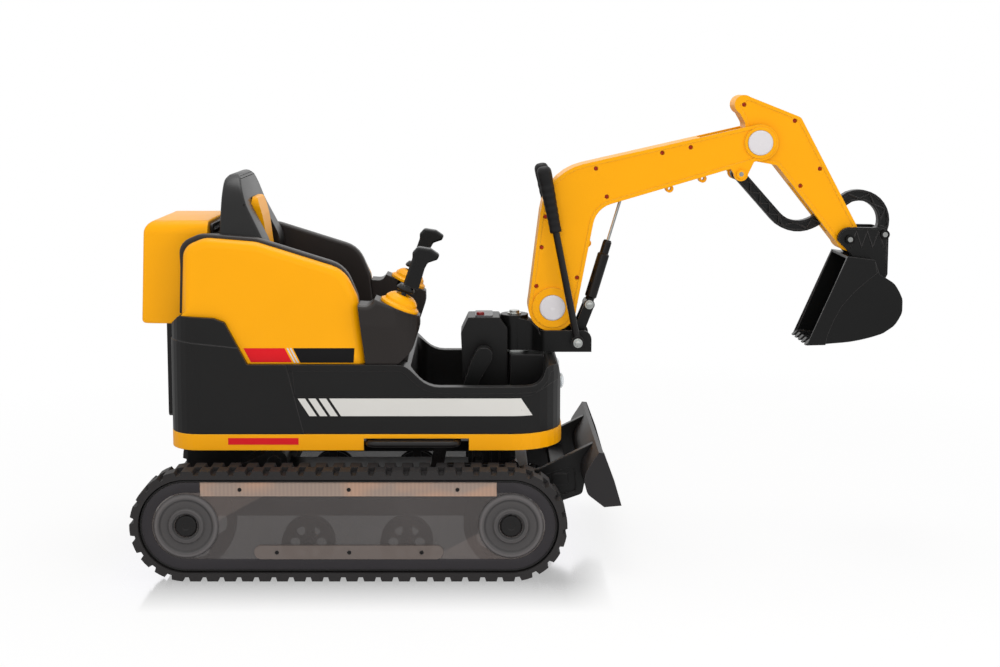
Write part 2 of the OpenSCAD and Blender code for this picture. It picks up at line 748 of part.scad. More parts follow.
// Consoles
dome_at = [91, seat_z + 107];
joy_y = joystick_gauge / 2;
dome_r = 38;
ball_r = 11;
ball_up = 8;
joy_pin = dome_at + ball_up * [sin(dome_tilt), cos(dome_tilt)];
module on_dome() {
    translate([dome_at.x, -joy_y, dome_at.y]) rotate([0, dome_tilt, 0]) children();
}
module console_pods() {
    half = [27, dome_r + 1];
    top = seat_z + 140;
    color(black) both() difference() {
        union() {
            intersection() {
                side([-joy_y - half.y, -joy_y + half.y]) difference() {
                    polygon(outline([
                        [-20, seat_z], [90, seat_z, 12], [117, seat_z + 28, 40], [131, seat_z + 70, 30],
                        [130, seat_z + 100], [52, seat_z + 134], [38, seat_z + 113, 16],
                        [-20, seat_z + 117]]));
                    polygon([
                        [-60, seat_z - 1], panel_front[0] + [free, 0],
                        1.04 * panel_front[1] - 0.04 * panel_front[0] + [free, 0], [-60, seat_z + 160]]);
                }
                plan_block(seat_z, top - seat_z, [
                    [-30, -joy_y - half.y], [132, -joy_y - half.y, 46], [132, -joy_y + half.y, 24],
                    [-30, -joy_y + half.y]]);
                translate([-40, 0, 0]) rotate([90, 0, 90]) linear_extrude(200) polygon(outline([
                    [-joy_y - half.x, seat_z - 1], [-joy_y + half.x, seat_z - 1],
                    [-joy_y + half.y, seat_z + 74, 60], [-joy_y + half.y, top], [-joy_y - half.y, top],
                    [-joy_y - half.y, seat_z + 74, 60]]));
            }
            on_dome() rotate_extrude() polygon([
                [0, -72], [22, -66], [30, -40], [36, -14], [dome_r + 2, -4], [dome_r + 2, 0], [0, 0]]);
        }
        on_dome() translate([-60, -60, 0]) cube([120, 120, 60]);
        on_dome() rotate_extrude() polygon([[14, -14], [32, -14], [32, 1], [14, 1]]);
        on_dome() rotate_extrude() polygon([[0, -6], [15, -6], [15, 1], [0, 1]]);
        on_dome() translate([0, 0, ball_up]) sphere(r = ball_r + free + 6);
        both() block([-400, -seat_w / 2, 0], [400, 0, 1000]);
    }
}
module console_domes() {
    color(yellow) both() on_dome() difference() {
        rotate_extrude() polygon([
            [0, 0], [dome_r, 0], [dome_r, 5], [dome_r - 4, 8], [dome_r - 6, 8], [dome_r - 7, 14],
            [dome_r - 12, 20], [dome_r - 18, 24], [0, 27]]);
        translate([0, 0, ball_up]) sphere(r = ball_r + free);
        translate([0, 0, ball_up]) cylinder(r1 = 7, r2 = 17, h = 20);
    }
}
module joystick() {
    handle = [
        [5, 36, 3], [34, 25, 3], [46, 66, 14], [52, 77, 8], [70, 83, 5], [75, 92, 5], [58, 104, 10],
        [33, 108, 8], [23, 97, 5], [23, 87, 12]];
    color(black) translate([0, -joy_y, 0]) {
        translate([joy_pin.x, 0, joy_pin.y]) rotate([0, dome_tilt - 3, 0]) {
            sphere(r = ball_r);
            cylinder(r = 5, h = 34);
            translate([0, 0, 24]) rotate_extrude()
                polygon([[0, 0], [16, 0], [18, 2], [17, 6], [13, 12], [0, 12]]);
        }
        side([-12, 12]) polygon(outline([for (c = handle) [joy_pin.x + c.x, joy_pin.y + c.y, c.z]]));
    }
}
module right_joystick() {
    joystick();
}
module left_joystick() {
    mirror([0, 1, 0]) joystick();
}
console_top = deck_z + 72;
panel_x = [236, 271];
panel_t = 3;
button_at = [246, -20];
sleeve_r = king_d / 2 + 8;
module on_panel() {
    translate([button_at.x, button_at.y, console_top]) children();
}
module front_console() {
    half = console_w / 2;
    color(black) difference() {
        side([-half, half]) polygon(outline([
            [214, floor_z], [300, floor_z], [300, console_top - 22, 8], [284, console_top, 3],
            [222, console_top, 3], [207, console_top - 32, 6]]));
        translate([king_x, 0, deck_z]) cylinder(r = sleeve_r + 4, h = 200);
        on_panel() translate([0, 0, -12]) cylinder(r = button_r + free, h = 20);
    }
}
module control_panel() {
    half = console_w / 2 - 6;
    color([0.6, 0.61, 0.62]) difference() {
        translate([0, 0, console_top]) linear_extrude(panel_t) polygon(outline([
            [panel_x.x, -half, 4], [panel_x.y, -half, 4], [panel_x.y, half, 4], [panel_x.x, half, 4]]));
        on_panel() translate([0, 0, -5]) cylinder(r = button_r + free, h = 20);
    }
}
module power_button() {
    color([0.75, 0.08, 0.08]) on_panel() translate([0, 0, -9]) rotate_extrude()
        polygon([[0, 0], [button_r, 0], [button_r, 16], [button_r - 1.5, 17.5], [0, 18]]);
}
module drive_pedal() {
    l = pedal_l;
    color(black) difference() {
        side([pedal_y.x + free, pedal_y.y - free]) translate(pedal_pin) polygon(outline([
            [-8, -8, 7.5], [-9, 0.42 * l, 60], [7, 0.8 * l, 30], [20, l, 14], [49, l, 14], [46, 0.8 * l, 8],
            [19, 0.42 * l, 60], [8, -8, 7.5]]));
        rod_at(pedal_pin, 4 + run, [pedal_y.x - 1, pedal_y.y + 1]);
    }
}
lamp_y = 82;
module headlights() {
    color([0.9, 0.92, 0.95, 0.5]) both() translate([body_front - body_inset, -lamp_y, tray_z - 12])
        rotate([0, 90, 0]) rotate_extrude() polygon([[0, 0], [15, 0], [15, 3], [12, 5.5], [7, 7.5], [0, 8]]);
}

// King post and swing bracket
bracket_z = deck_z + 4;
sleeve_top = 74;
king_h = sleeve_top - 9;
bolt_r = 6;
module king_post() {
    color(steel) translate([king_x, 0, deck_z]) rotate_extrude() polygon([
        [0, 0], [sleeve_r + 2, 0], [sleeve_r + 2, 4 - free], [king_d / 2, 4 - free], [king_d / 2, king_h],
        [bolt_r, king_h], [bolt_r, sleeve_top + free], [14, sleeve_top + free], [14, sleeve_top + 2],
        [10, sleeve_top + 2], [10, sleeve_top + 7], [0, sleeve_top + 7]]);
}
module swing_bracket() {
    ears = [strut_d / 2 + 2, strut_d / 2 + 10];
    plate_half = boom_w / 2 + 10;
    front = king_x + 153;
    plate_top = bracket_z + 43;
    waist = [king_x + 32, king_x + 60];
    color(black) difference() {
        union() {
            translate([king_x, 0, bracket_z]) cylinder(r = sleeve_r, h = sleeve_top - 4);
            intersection() {
                union() {
                    side([-plate_half, plate_half]) polygon(outline([
                        [king_x, bracket_z], [waist.y, bracket_z], [waist.y - 12, plate_top],
                        [waist.x - 3, bracket_z + sleeve_top - 14, 8],
                        [king_x, bracket_z + sleeve_top - 8]]));
                    block([waist.x + 4, -plate_half, bracket_z], [front, plate_half, bracket_z + 8]);
                    both() side([-plate_half, -boom_w / 2 - 2]) polygon(outline([
                        [waist.x + 2, bracket_z], [front, bracket_z, 4], [front, plate_top, 18],
                        [waist.x + 2, plate_top]]));
                }
                plan_block(bracket_z - 1, sleeve_top, [
                    [king_x, -sleeve_r + 1], [waist.x, -sleeve_r + 1, 20], [waist.y, -plate_half, 20],
                    [front + 1, -plate_half], [front + 1, plate_half], [waist.y, plate_half, 20],
                    [waist.x, sleeve_r - 1, 20], [king_x, sleeve_r - 1]]);
            }
            both() {
                side([-ears.y, -ears.x]) {
                    translate(strut_low) circle(11);
                    polygon([strut_low + [-10, 1], strut_low + [10, -3], [king_x + 128, bracket_z + 4],
                             [king_x + 104, bracket_z + 4]]);
                }
                rod_at(lever_pin, small_pin_r, [-plate_half - 21, -plate_half + 1]);
                rod_at(lever_pin, 12, [-plate_half - 4, -plate_half + 1]);
                rod_at(lever_pin, 9, [-plate_half - 25, -plate_half - 21 + free]);
            }
            side([-tongue_half, tongue_half]) {
                translate(foot) circle(24);
                polygon([
                    foot + [-23, 1], [foot.x - 30, bracket_z + 4], [foot.x + 30, bracket_z + 4],
                    foot + [23, 1]]);
            }
            rod_at(strut_low, small_pin_r, [-ears.y, ears.y]);
        }
        translate([king_x, 0, bracket_z - 1]) cylinder(r = king_d / 2 + run, h = king_h - 2);
        translate([king_x, 0, bracket_z]) cylinder(r = bolt_r + run, h = 100);
        rod_at(foot, arm_pin_r + run, [-tongue_half - 1, tongue_half + 1]);
    }
}
lever_y = boom_w / 2 + 10 + 12.5;
module along_lever() {
    translate([lever_pin.x, -lever_y, lever_pin.y]) rotate([0, -lever_lean, 0]) children();
}
module lever() {
    half = 8 - free;
    color([0.16, 0.16, 0.17]) difference() {
        union() {
            along_lever() cylinder(r = lever_d / 2, h = lever_l - 10);
            rod_at(lever_pin, 13, [-lever_y - half, -lever_y + half]);
        }
        rod_at(lever_pin, small_pin_r + run, [-lever_y - 20, -lever_y + 20]);
    }
}
module grip() {
    color(rubber) along_lever() translate([0, 0, lever_l - grip_l]) rotate_extrude() polygon(concat(
        [[lever_d / 2 + run, 0], [lever_d / 2 + 4, 0], [lever_d / 2 + 5, 2]],
        [for (k = [0:5], e = [[0, 3.4], [2, 4.4], [8, 4.4], [10, 3.4]])
            [lever_d / 2 + e.y + k * 0.45, 14 + k * 14 + e.x]],
        [[lever_d / 2 + 7, grip_l - 24], [lever_d / 2 + 7, grip_l - 8], [lever_d / 2 + 4, grip_l - 2],
         [lever_d / 2, grip_l], [0, grip_l], [0, grip_l - 10], [lever_d / 2 + run, grip_l - 10]]));
}
module right_lever() {
    lever();
}
module left_lever() {
    mirror([0, 1, 0]) lever();
}
module right_grip() {
    grip();
}
module left_grip() {
    mirror([0, 1, 0]) grip();
}

// Boom
boom_corners = [
    foot + [48, -2], concat(foot + [86, 199], 50), elbow + [-5, -36], elbow + [-10, 35],
    concat(foot + [-15, 270], 110), foot + [-47, 8]];
boom_screws = concat(
    [for (d = [[-15, 182], [-22, 121], [-32, 43], [49, 60], [107, 222], [85, 278]]) foot + d],
    [for (d = [[-193, -20], [-137, -9]]) elbow + d]);
boom_tabs = [foot + [71, 126], elbow + [-174, -93], elbow + [-108, -73]];
screw_r = 4.5;
rim_w = 7;
rim_h = 1.5;
ring_h = 3;
module boom_side() {
    polygon(outline(boom_corners));
    translate(foot) circle(48);
    translate(elbow) circle(36);
}
module boom_lug() {
    translate(link_pin) circle(14);
    polygon([link_pin + [-14, 0], link_pin + [14, 0], link_pin + [30, 34], link_pin + [-30, 26]]);
}
module boom_shell() {
    half = boom_w / 2;
    inner = half - shell_wall;
    color(yellow) difference() {
        union() {
            difference() {
                union() {
                    side([-half, 0]) boom_side();
                    side([-half, 0]) boom_lug();
                    for (p = boom_tabs) rod_at(p, 8, [-9, 0]);
                }
                side([-inner, 1]) {
                    polygon(outline(shrunk(boom_corners, shell_wall)));
                    translate(foot) circle(48 - shell_wall);
                }
                side([-half - 1, -half + rim_h]) polygon(outline(shrunk(boom_corners, rim_w)));
            }
            for (p = boom_screws) rod_at(p, screw_r + 3, [-half + rim_h, 0]);
            rod_at(foot, 18, [-half, -tongue_half - 0.5]);
            rod_at(foot, 40, [-half - ring_h, -inner]);
            rod_at(elbow, 31, [-half - ring_h, -inner]);
            rod_at(strut_top, 4, [-inner - 1, 0]);
        }
        rod_at(elbow, fork_r, [-fork_half, 1]);
        rod_at(foot, 26, [-half - ring_h - 1, -half - ring_h + 2]);
        rod_at(elbow, 25, [-half - ring_h - 1, -half - ring_h + 2]);
        rod_at(foot, arm_pin_r + run, [-half - 9, 1]);
        rod_at(elbow, arm_pin_r + run, [-half - 9, 1]);
        rod_at(link_pin, small_pin_r + run, [-half - 9, 1]);
        for (p = boom_screws) rod_at(p, screw_r, [-half - 1, -half + 9]);
        for (p = boom_tabs) rod_at(p, 3, [-20, 1]);
        side([-tongue_half - 2, 1])
            polygon(concat([foot], [for (a = [-140:16:-12]) foot + 75 * [cos(a), sin(a)]]));
        side([-strut_d / 2 - 11.5, 1])
            polygon([for (d = [[36, -16], [75, -16], [82, 78], [50, 78]]) foot + d]);
        side([-10, 1]) polygon([for (d = [[96, 186], [176, 196], [182, 236], [100, 226]]) foot + d]);
    }
}
module boom_right_shell() {
    boom_shell();
}
module boom_left_shell() {
    mirror([0, 1, 0]) boom_shell();
}
module pivot_caps() {
    y = boom_w / 2 + ring_h - 2;
    color([0.9, 0.89, 0.9]) both() {
        spun(foot, -y) polygon([[0, 0.2], [25.5, 0.2], [25.5, 3], [23, 4.5], [0, 5.2]]);
        spun(elbow, -y) polygon([[0, 0.2], [24.5, 0.2], [24.5, 3], [22, 4.5], [0, 5.2]]);
    }
}
module boom_pins() {
    half = boom_w / 2 + ring_h - 2;
    color(steel) {
        rod_at(foot, arm_pin_r, [-half, half]);
        rod_at(elbow, arm_pin_r, [-half, half]);
        rod_at(link_pin, small_pin_r, [-boom_w / 2 - 1, boom_w / 2 + 1]);
        both() rod_at(link_pin, 9, [-boom_w / 2 - 5, -boom_w / 2]);
    }
}

// Stick
stick_dir = unit(elbow - tip_pin);
stick_corners = [
    tip_pin + [17, 24], concat(elbow + [82, 50], 14), elbow + [-24, 92], concat(elbow + [-50, 76], 6),
    concat(elbow + [-28, 38], 16), concat(elbow + [-32, -8], 14), concat(elbow + [-8, -37], 14),
    concat(elbow + [36, -45], 10), tip_pin + [-22, -9]];
horn = elbow + [-31, 75];
stick_screws = [horn, elbow + [70, 43], elbow + [122, -52], elbow + [84, -86]];
slot_half = link_t / 2 + 2.5;
module stick_shell() {
    half = stick_w / 2;
    inner = half - shell_wall;
    low = tip_pin + stick_dir * 36;
    high = tip_pin + stick_dir * 160;
    across = left_of(stick_dir) * 90;
    color(yellow) difference() {
        union() {
            difference() {
                side([-half, 0]) {
                    polygon(outline(stick_corners));
                    translate(horn) circle(19);
                    translate(tip_pin) circle(24);
                }
                side([-inner, 1]) polygon(outline(shrunk(stick_corners, shell_wall)));
                side([-half - 1, -half + rim_h]) polygon(outline(shrunk(stick_corners, rim_w)));
            }
            for (p = stick_screws) rod_at(p, screw_r + 3, [-half + rim_h, 0]);
            rod_at(elbow, 17, [-half, 0]);
            rod_at(tip_pin, 18, [-half, 0]);
        }
        rod_at(elbow, arm_pin_r + run, [-half - 1, 1]);
        rod_at(tip_pin, small_pin_r + run, [-half - 1, 1]);
        for (p = stick_screws) rod_at(p, screw_r, [-half - 1, -half + 9]);
        side([-slot_half, 1]) polygon([low - across, low + across, high + across, high - across]);
    }
}
module stick_right_shell() {
    stick_shell();
}
module stick_left_shell() {
    mirror([0, 1, 0]) stick_shell();
}

// Bucket link, an S-shaped bar with zigzag ribs
link_w = 22;
arch = tip_pin + [24, 35];
arch_r = 51;
link_line = concat(
    open_line([
        link_pin, concat(tip_pin + [-112, 10], 60), concat(tip_pin + [-62, 34], 60), tip_pin + [-5, 76]]),
    [for (a = [112:-11:-20]) arch + arch_r * [cos(a), sin(a)]], [curl_pin]);
module bucket_link() {
    n = len(link_line);
    half = link_t / 2;
    web = half - 5;
    step = 2;
    zigzag = [for (i = [1:step:n - 3])
        let (t = left_of(unit(link_line[i + 1] - link_line[i - 1])))
        link_line[i] + t * (link_w / 2 - 4) * ((i - 1) / step % 2 == 0 ? 1 : -1)];
    color(black) difference() {
        union() {
            side([-web, web]) polygon(strip(link_line, link_w - 2));
            difference() {
                side([-half, half]) polygon(strip(link_line, link_w));
                side([-half - 1, half + 1]) polygon(strip(link_line, link_w - 8));
            }
            side([-half, half]) polygon(strip(zigzag, 3));
            rod_at(link_pin, 14, [-half, half]);
            rod_at(curl_pin, 15, [-half, half]);
        }
        rod_at(link_pin, small_pin_r + run, [-half - 1, half + 1]);
        rod_at(curl_pin, small_pin_r + curl_play, [-half - 1, half + 1]);
    }
}

// Bucket
bucket_wall = 5;
bucket_back = [
    tip_pin + [-10, -31], tip_pin + [44, -38], tip_pin + [54, -66], concat(curl_pin + [14, -94], 20),
    concat(curl_pin + [36, -140], 30), concat(curl_pin + [8, -190], 45), concat(tip_pin + [-10, -203], 60),
    tip_pin + [-84, -209]];
bucket_tip = tip_pin + [-89, -209];
module bucket_section() {
    polygon(outline(concat(bucket_back, [tip_pin + [-76, -192]])));
}
module bucket() {
    half = bucket_w / 2;
    teeth = 5;
    tooth_w = 14;
    pitch = (bucket_w - tooth_w) / (teeth - 1);
    back = open_line(bucket_back);
    band = [
        [-10, -31], [-87, -209], [-50, -208], [-46, -188], [-35, -160], [-19, -130], [4, -103], [29, -80],
        [49, -65], [44, -38]];
    color(black) {
        difference() {
            side([-half, half]) bucket_section();
            side([-half + bucket_wall, half - bucket_wall]) difference() {
                polygon(concat(back, [bucket_tip + [-30, 30], bucket_back[0] + [-40, -20]]));
                polygon(strip(back, 2 * bucket_wall));
            }
        }
        both() side([-half - 2, -half + 1]) polygon([for (d = band) tip_pin + d]);
        for (k = [0:teeth - 1]) translate([0, -half + k * pitch, 0]) side([0, tooth_w]) polygon([
            tip_pin + [-64, -207], tip_pin + [-64, -199], tip_pin + [-80, -199], bucket_tip + [0, 1],
            bucket_tip]);
    }
}
bracket_corners = [
    tip_pin + [-20, -60], tip_pin + [62, -100], concat(tip_pin + [77, -70], 8),
    concat(tip_pin + [77, 23], 16), concat(tip_pin + [10, 24], 10), tip_pin + [-14, 20], tip_pin + [-24, 0]];
ear_y = [-stick_w / 2 - 1.5 - ear_t, -stick_w / 2 - 1.5];
module bracket_section(inset) {
    difference() {
        union() {
            polygon(outline(shrunk(bracket_corners, inset)));
            translate(tip_pin) circle(24 - inset);
        }
        bucket_section();
    }
}
module bucket_bracket() {
    ribs = [for (k = [0:6]) tip_pin + [2 + k * 11, (k % 2 == 0 ? -16 : 16)]];
    color(black) difference() {
        union() {
            both() {
                side(ear_y) bracket_section(0);
                side([ear_y.x - 2, ear_y.x]) {
                    difference() {
                        bracket_section(0);
                        bracket_section(4);
                    }
                    intersection() {
                        polygon(strip(ribs, 3.5));
                        bracket_section(0);
                    }
                }
            }
            side([ear_y.y - 1, -ear_y.y + 1]) difference() {
                polygon([for (d = [[50, -60], [50, -90], [74, -90], [74, -40], [62, -36]]) tip_pin + d]);
                bucket_section();
            }
        }
        for (p = [tip_pin, curl_pin]) rod_at(p, small_pin_r + run, [-60, 60]);
    }
}
module bucket_pins() {
    color(steel) {
        for (p = [tip_pin, curl_pin]) {
            rod_at(p, small_pin_r, [ear_y.x - 3, -ear_y.x + 3]);
            both() rod_at(p, 9, [ear_y.x - 7, ear_y.x - 2]);
        }
    }
}

// Gas strut
strut_l = norm(strut_top - strut_low);
strut_lean = atan2(strut_top.x - strut_low.x, strut_top.y - strut_low.y);
tube_l = 134;
neck_l = 30;
rod_start = 55;
strut_rod_r = 3;
strut_eye = strut_play + 4;
module along_strut() {
    translate([strut_low.x, 0, strut_low.y]) rotate([0, strut_lean, 0]) children();
}
module strut_cylinder() {
    r = strut_d / 2;
    color(black) difference() {
        union() {
            along_strut() rotate_extrude() polygon([
                [0, 0], [r - 3, 0], [r - 3, 12], [r, 15], [r, tube_l - neck_l], [r - 3, tube_l - neck_l + 3],
                [r - 3, tube_l - 4], [r - 5, tube_l], [0, tube_l]]);
            rod_at(strut_low, 11, [-r, r]);
        }
        rod_at(strut_low, small_pin_r + run, [-r - 1, r + 1]);
        along_strut() translate([0, 0, 18]) cylinder(r = strut_rod_r + run, h = tube_l);
    }
}
module strut_rod() {
    color(steel) difference() {
        union() {
            along_strut() translate([0, 0, rod_start])
                cylinder(r = strut_rod_r, h = strut_l - strut_eye - rod_start - 1);
            rod_at(strut_top, strut_eye + 4, [-6, 6]);
        }
        rod_at(strut_top, strut_eye, [-7, 7]);
    }
}

// Dozer blade
blade_back = [
    blade_pin + [152, 81], concat(blade_pin + [122, 34], 40), concat(blade_pin + [131, 0], 20),
    blade_pin + [163, -25]];
blade_tip = blade_pin + [196, -22];
module blade_section() {
    polygon(outline(concat(blade_back, [
        blade_tip, concat(blade_pin + [172, -14], 20), concat(blade_pin + [139, 6], 20),
        concat(blade_pin + [131, 33], 34), blade_pin + [160, 80]])));
}
module dozer_blade() {
    half = blade_w / 2;
    color([0.24, 0.24, 0.25]) {
        side([-half, half]) blade_section();
        both() side([-half, -half + 6])
            polygon(outline(concat(
                blade_back, [blade_tip, concat(blade_pin + [182, 26], 60), blade_pin + [162, 80]])));
    }
}
module blade_arm_side() {
    difference() {
        union() {
            translate(blade_pin) circle(20);
            polygon(outline([
                blade_pin + [0, -20], concat(blade_pin + [86, -41], 12), concat(blade_pin + [128, -26], 10),
                blade_pin + [134, 4], blade_pin + [126, 34], blade_pin + [150, 76],
                concat(blade_pin + [110, 56], 20), concat(blade_pin + [43, 22], 20), blade_pin + [0, 20]]));
        }
        blade_section();
    }
}
module blade_arms() {
    y = [-arm_y, -arm_y + blade_arm_t];
    color(black) difference() {
        union() {
            both() difference() {
                side(y) blade_arm_side();
                side([y.x - 1, y.x + 5]) polygon(outline([
                    blade_pin + [34, -12], concat(blade_pin + [84, -30], 8),
                    concat(blade_pin + [116, -20], 8), concat(blade_pin + [112, 30], 8),
                    concat(blade_pin + [50, 10], 8)]));
            }
            side(y) {
                translate(crank_pin) circle(9);
                polygon([crank_pin + [-9, 0], blade_pin + [-12, 0], blade_pin + [12, 0], crank_pin + [9, 0]]);
            }
            rod_at(crank_pin, 4, [rod_y - rod_r, y.x + 1]);
            block([blade_pin.x + 70, y.x + 2, blade_pin.y - 10],
                  [blade_pin.x + 100, -y.x - 2, blade_pin.y + 14]);
        }
        both() rod_at(blade_pin, 8 + run, [y.x - 1, y.y + 1]);
    }
}
module blade_handle() {
    r = handle_d / 2;
    curve = 14;
    leg_y = -body_w / 2 + 32;
    drop_x = handle_x.x + 136;
    plate = [rod_y - 12, rod_y - 6];
    color(black) {
        translate([handle_x.x + curve, handle_y, handle_z]) rotate([0, 90, 0])
            cylinder(r = r, h = handle_x.y - handle_x.x - 2 * curve);
        for (e = [[handle_x.x, 1], [handle_x.y, -1]]) {
            translate([e.x + e.y * curve, handle_y + curve, handle_z]) rotate([0, 0, e.y > 0 ? 180 : 270])
                rotate_extrude(angle = 90) translate([curve, 0]) circle(r);
            translate([e.x, handle_y + curve, handle_z]) rotate([-90, 0, 0])
                cylinder(r = r, h = leg_y - handle_y - curve);
        }
        block([handle_x.x - r, leg_y - 4, handle_z - r],
              [handle_x.y + r, leg_y + 4, base_z - plate_t - free]);
        block([drop_x - 10, leg_y, handle_z - r], [drop_x + 16, plate.y, handle_z - r + 5]);
        side(plate) polygon(outline([
            [drop_x - 10, handle_z - r + 5], [drop_x - 20, rod_z - 2, 8], [drop_x - 12, rod_z - 12, 8],
            [drop_x + 4, rod_z - 8, 8], [drop_x + 16, handle_z - r + 5]]));
    }
}
module blade_rod() {
    x0 = handle_x.x + 126;
    color([0.2, 0.2, 0.21]) difference() {
        union() {
            translate([x0, rod_y, rod_z]) rotate([0, 90, 0]) cylinder(r = rod_r, h = crank_pin.x - x0 - 6);
            rod_at([x0, rod_z], 8, [rod_y - 6, rod_y + 5]);
            rod_at([crank_pin.x, rod_z], 10, [rod_y - rod_r, rod_y + rod_r]);
        }
        rod_at([crank_pin.x, rod_z], 5, [rod_y - 20, rod_y + 20]);
    }
}

placed() chassis_frame();
placed() track_frames();
placed() right_track_belt();
placed() left_track_belt();
placed() track_covers();
placed() hub_rings();
placed() wheel_axles();
placed() gearmotors();
placed() skirt();
placed() lower_body();
placed() rear_plate();
placed() battery();
placed() side_panels();
placed() armrests();
placed() seat_shell();
placed() seat_back();
placed() seat_back_insert();
placed() rear_box();
placed() rear_grille();
placed() console_pods();
placed() console_domes();
placed() front_console();
placed() control_panel();
placed() headlights();
placed() king_post();
placed() right_drive_wheel();
placed() right_idler_wheel();
placed() right_rear_road_wheel();
placed() right_front_road_wheel();
placed() left_drive_wheel();
placed() left_idler_wheel();
placed() left_rear_road_wheel();
placed() left_front_road_wheel();
placed() swing_bracket();
placed() boom_right_shell();
placed() boom_left_shell();
placed() pivot_caps();
placed() boom_pins();
placed() stick_right_shell();
placed() stick_left_shell();
placed() bucket_link();
placed() bucket();
placed() bucket_bracket();
placed() bucket_pins();
placed() strut_cylinder();
placed() strut_rod();
placed() right_lever();
placed() right_grip();
placed() left_lever();
placed() left_grip();
placed() right_joystick();
placed() left_joystick();
placed() drive_pedal();
placed() power_button();
placed() dozer_blade();
placed() blade_arms();
placed() blade_handle();
placed() blade_rod();
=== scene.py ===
# %% [markdown]
# # A ride-on toy excavator
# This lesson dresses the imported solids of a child's tracked excavator.

# %% Load the frame
import json
import math

import bmesh
import bpy
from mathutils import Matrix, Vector


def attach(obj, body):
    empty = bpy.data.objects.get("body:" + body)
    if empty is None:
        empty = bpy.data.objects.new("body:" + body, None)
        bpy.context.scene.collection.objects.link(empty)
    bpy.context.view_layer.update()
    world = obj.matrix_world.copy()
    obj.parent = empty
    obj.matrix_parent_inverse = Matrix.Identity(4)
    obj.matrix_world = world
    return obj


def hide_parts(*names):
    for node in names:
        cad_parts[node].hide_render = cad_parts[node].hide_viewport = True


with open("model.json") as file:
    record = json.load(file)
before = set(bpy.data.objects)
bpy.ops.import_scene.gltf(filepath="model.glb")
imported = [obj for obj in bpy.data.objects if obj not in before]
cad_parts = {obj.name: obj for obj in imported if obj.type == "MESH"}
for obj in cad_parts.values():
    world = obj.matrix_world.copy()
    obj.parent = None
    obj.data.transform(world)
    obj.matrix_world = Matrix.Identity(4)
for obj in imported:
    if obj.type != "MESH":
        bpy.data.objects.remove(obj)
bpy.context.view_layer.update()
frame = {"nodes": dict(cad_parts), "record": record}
nodes = frame["nodes"]

# %% [markdown]
# ## Working in the drawing's millimetres
# The drawing counts X from the middle of the tracks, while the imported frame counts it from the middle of
# the whole machine. One small function turns a place in the drawing into a place in the scene. The end wheels
# of the tracks stand WHEEL_X before and behind the middle, at the height TRACK_MID.

# %% Places
MIDDLE = 336
WHEEL_X, TRACK_MID = 303, 105


def at(x, y, z):
    return Vector(((x - MIDDLE) / 1000, y / 1000, z / 1000))


def deselect():
    if bpy.context.object and bpy.context.object.mode != "OBJECT":
        bpy.ops.object.mode_set(mode="OBJECT")
    bpy.ops.object.select_all(action="DESELECT")


def pick(piece):
    deselect()
    piece.select_set(True)
    bpy.context.view_layer.objects.active = piece


def edit_all():
    bpy.ops.object.mode_set(mode="EDIT")
    bpy.ops.mesh.select_all(action="SELECT")


def stop_editing():
    bpy.ops.object.mode_set(mode="OBJECT")


def join(pieces, name):
    deselect()
    for piece in pieces:
        piece.select_set(True)
    bpy.context.view_layer.objects.active = pieces[0]
    bpy.ops.object.join()
    bpy.context.object.name = name
    return bpy.context.object


deselect()
print("the king post stands at", at(315, 0, 388))

# %% [markdown]
# ## Camera
# The photograph is taken from the right side, from about three metres away and about as high as the arm.
# Lines that run across the machine meet far up in the picture, so the camera looks down a little and its
# lens is shifted for the rest. Depth of field stays off.

# %% Camera
LOOK_DOWN = math.radians(6)
LENS, SENSOR = 52.08, 36
SHIFT_X, SHIFT_Y = 0.0224, -0.0975
CAMERA_PLACE = at(240.5, -2900.7, 924.6)
photo_camera = bpy.data.cameras.new("photo_camera")
photo_camera.lens = LENS
photo_camera.sensor_width = SENSOR
photo_camera.shift_x = SHIFT_X
photo_camera.shift_y = SHIFT_Y
camera = bpy.data.objects.new("photo_camera", photo_camera)
bpy.context.scene.collection.objects.link(camera)
camera.location = CAMERA_PLACE
camera.rotation_euler = (math.pi / 2 - LOOK_DOWN, 0, 0)
bpy.context.scene.camera = camera
print("camera at", camera.location)

# %% [markdown]
# ## Shader maths in plain expressions
# Writing `1 - mask * 0.5` is easier to read than a chain of Math nodes. This small class wraps a socket,
# and each operator adds the Math node that it stands for. Every other node comes from `add`. Two helpers follow:
# `graded` maps one range of values to another, and `drawing_xz` gives the X and Z of the drawing in metres.

# %% Socket class


class Socket:
    def __init__(self, tree, socket):
        self.tree = tree
        self.socket = socket

    def math(self, operation, first, second=None):
        values = [first] if second is None else [first, second]
        return add(self.tree, "ShaderNodeMath", {"operation": operation}, dict(enumerate(values)))

    def __add__(self, other):
        return self.math("ADD", self, other)

    def __sub__(self, other):
        return self.math("SUBTRACT", self, other)

    def __rsub__(self, other):
        return self.math("SUBTRACT", other, self)

    def __mul__(self, other):
        return self.math("MULTIPLY", self, other)

    def __gt__(self, other):
        return self.math("GREATER_THAN", self, other)

    def __lt__(self, other):
        return self.math("LESS_THAN", self, other)

    def __abs__(self):
        return self.math("ABSOLUTE", self)

    def __mod__(self, other):
        return self.math("FLOORED_MODULO", self, other)

    def either(self, other):
        return self.math("MAXIMUM", self, other)

    __radd__ = __add__
    __rmul__ = __mul__


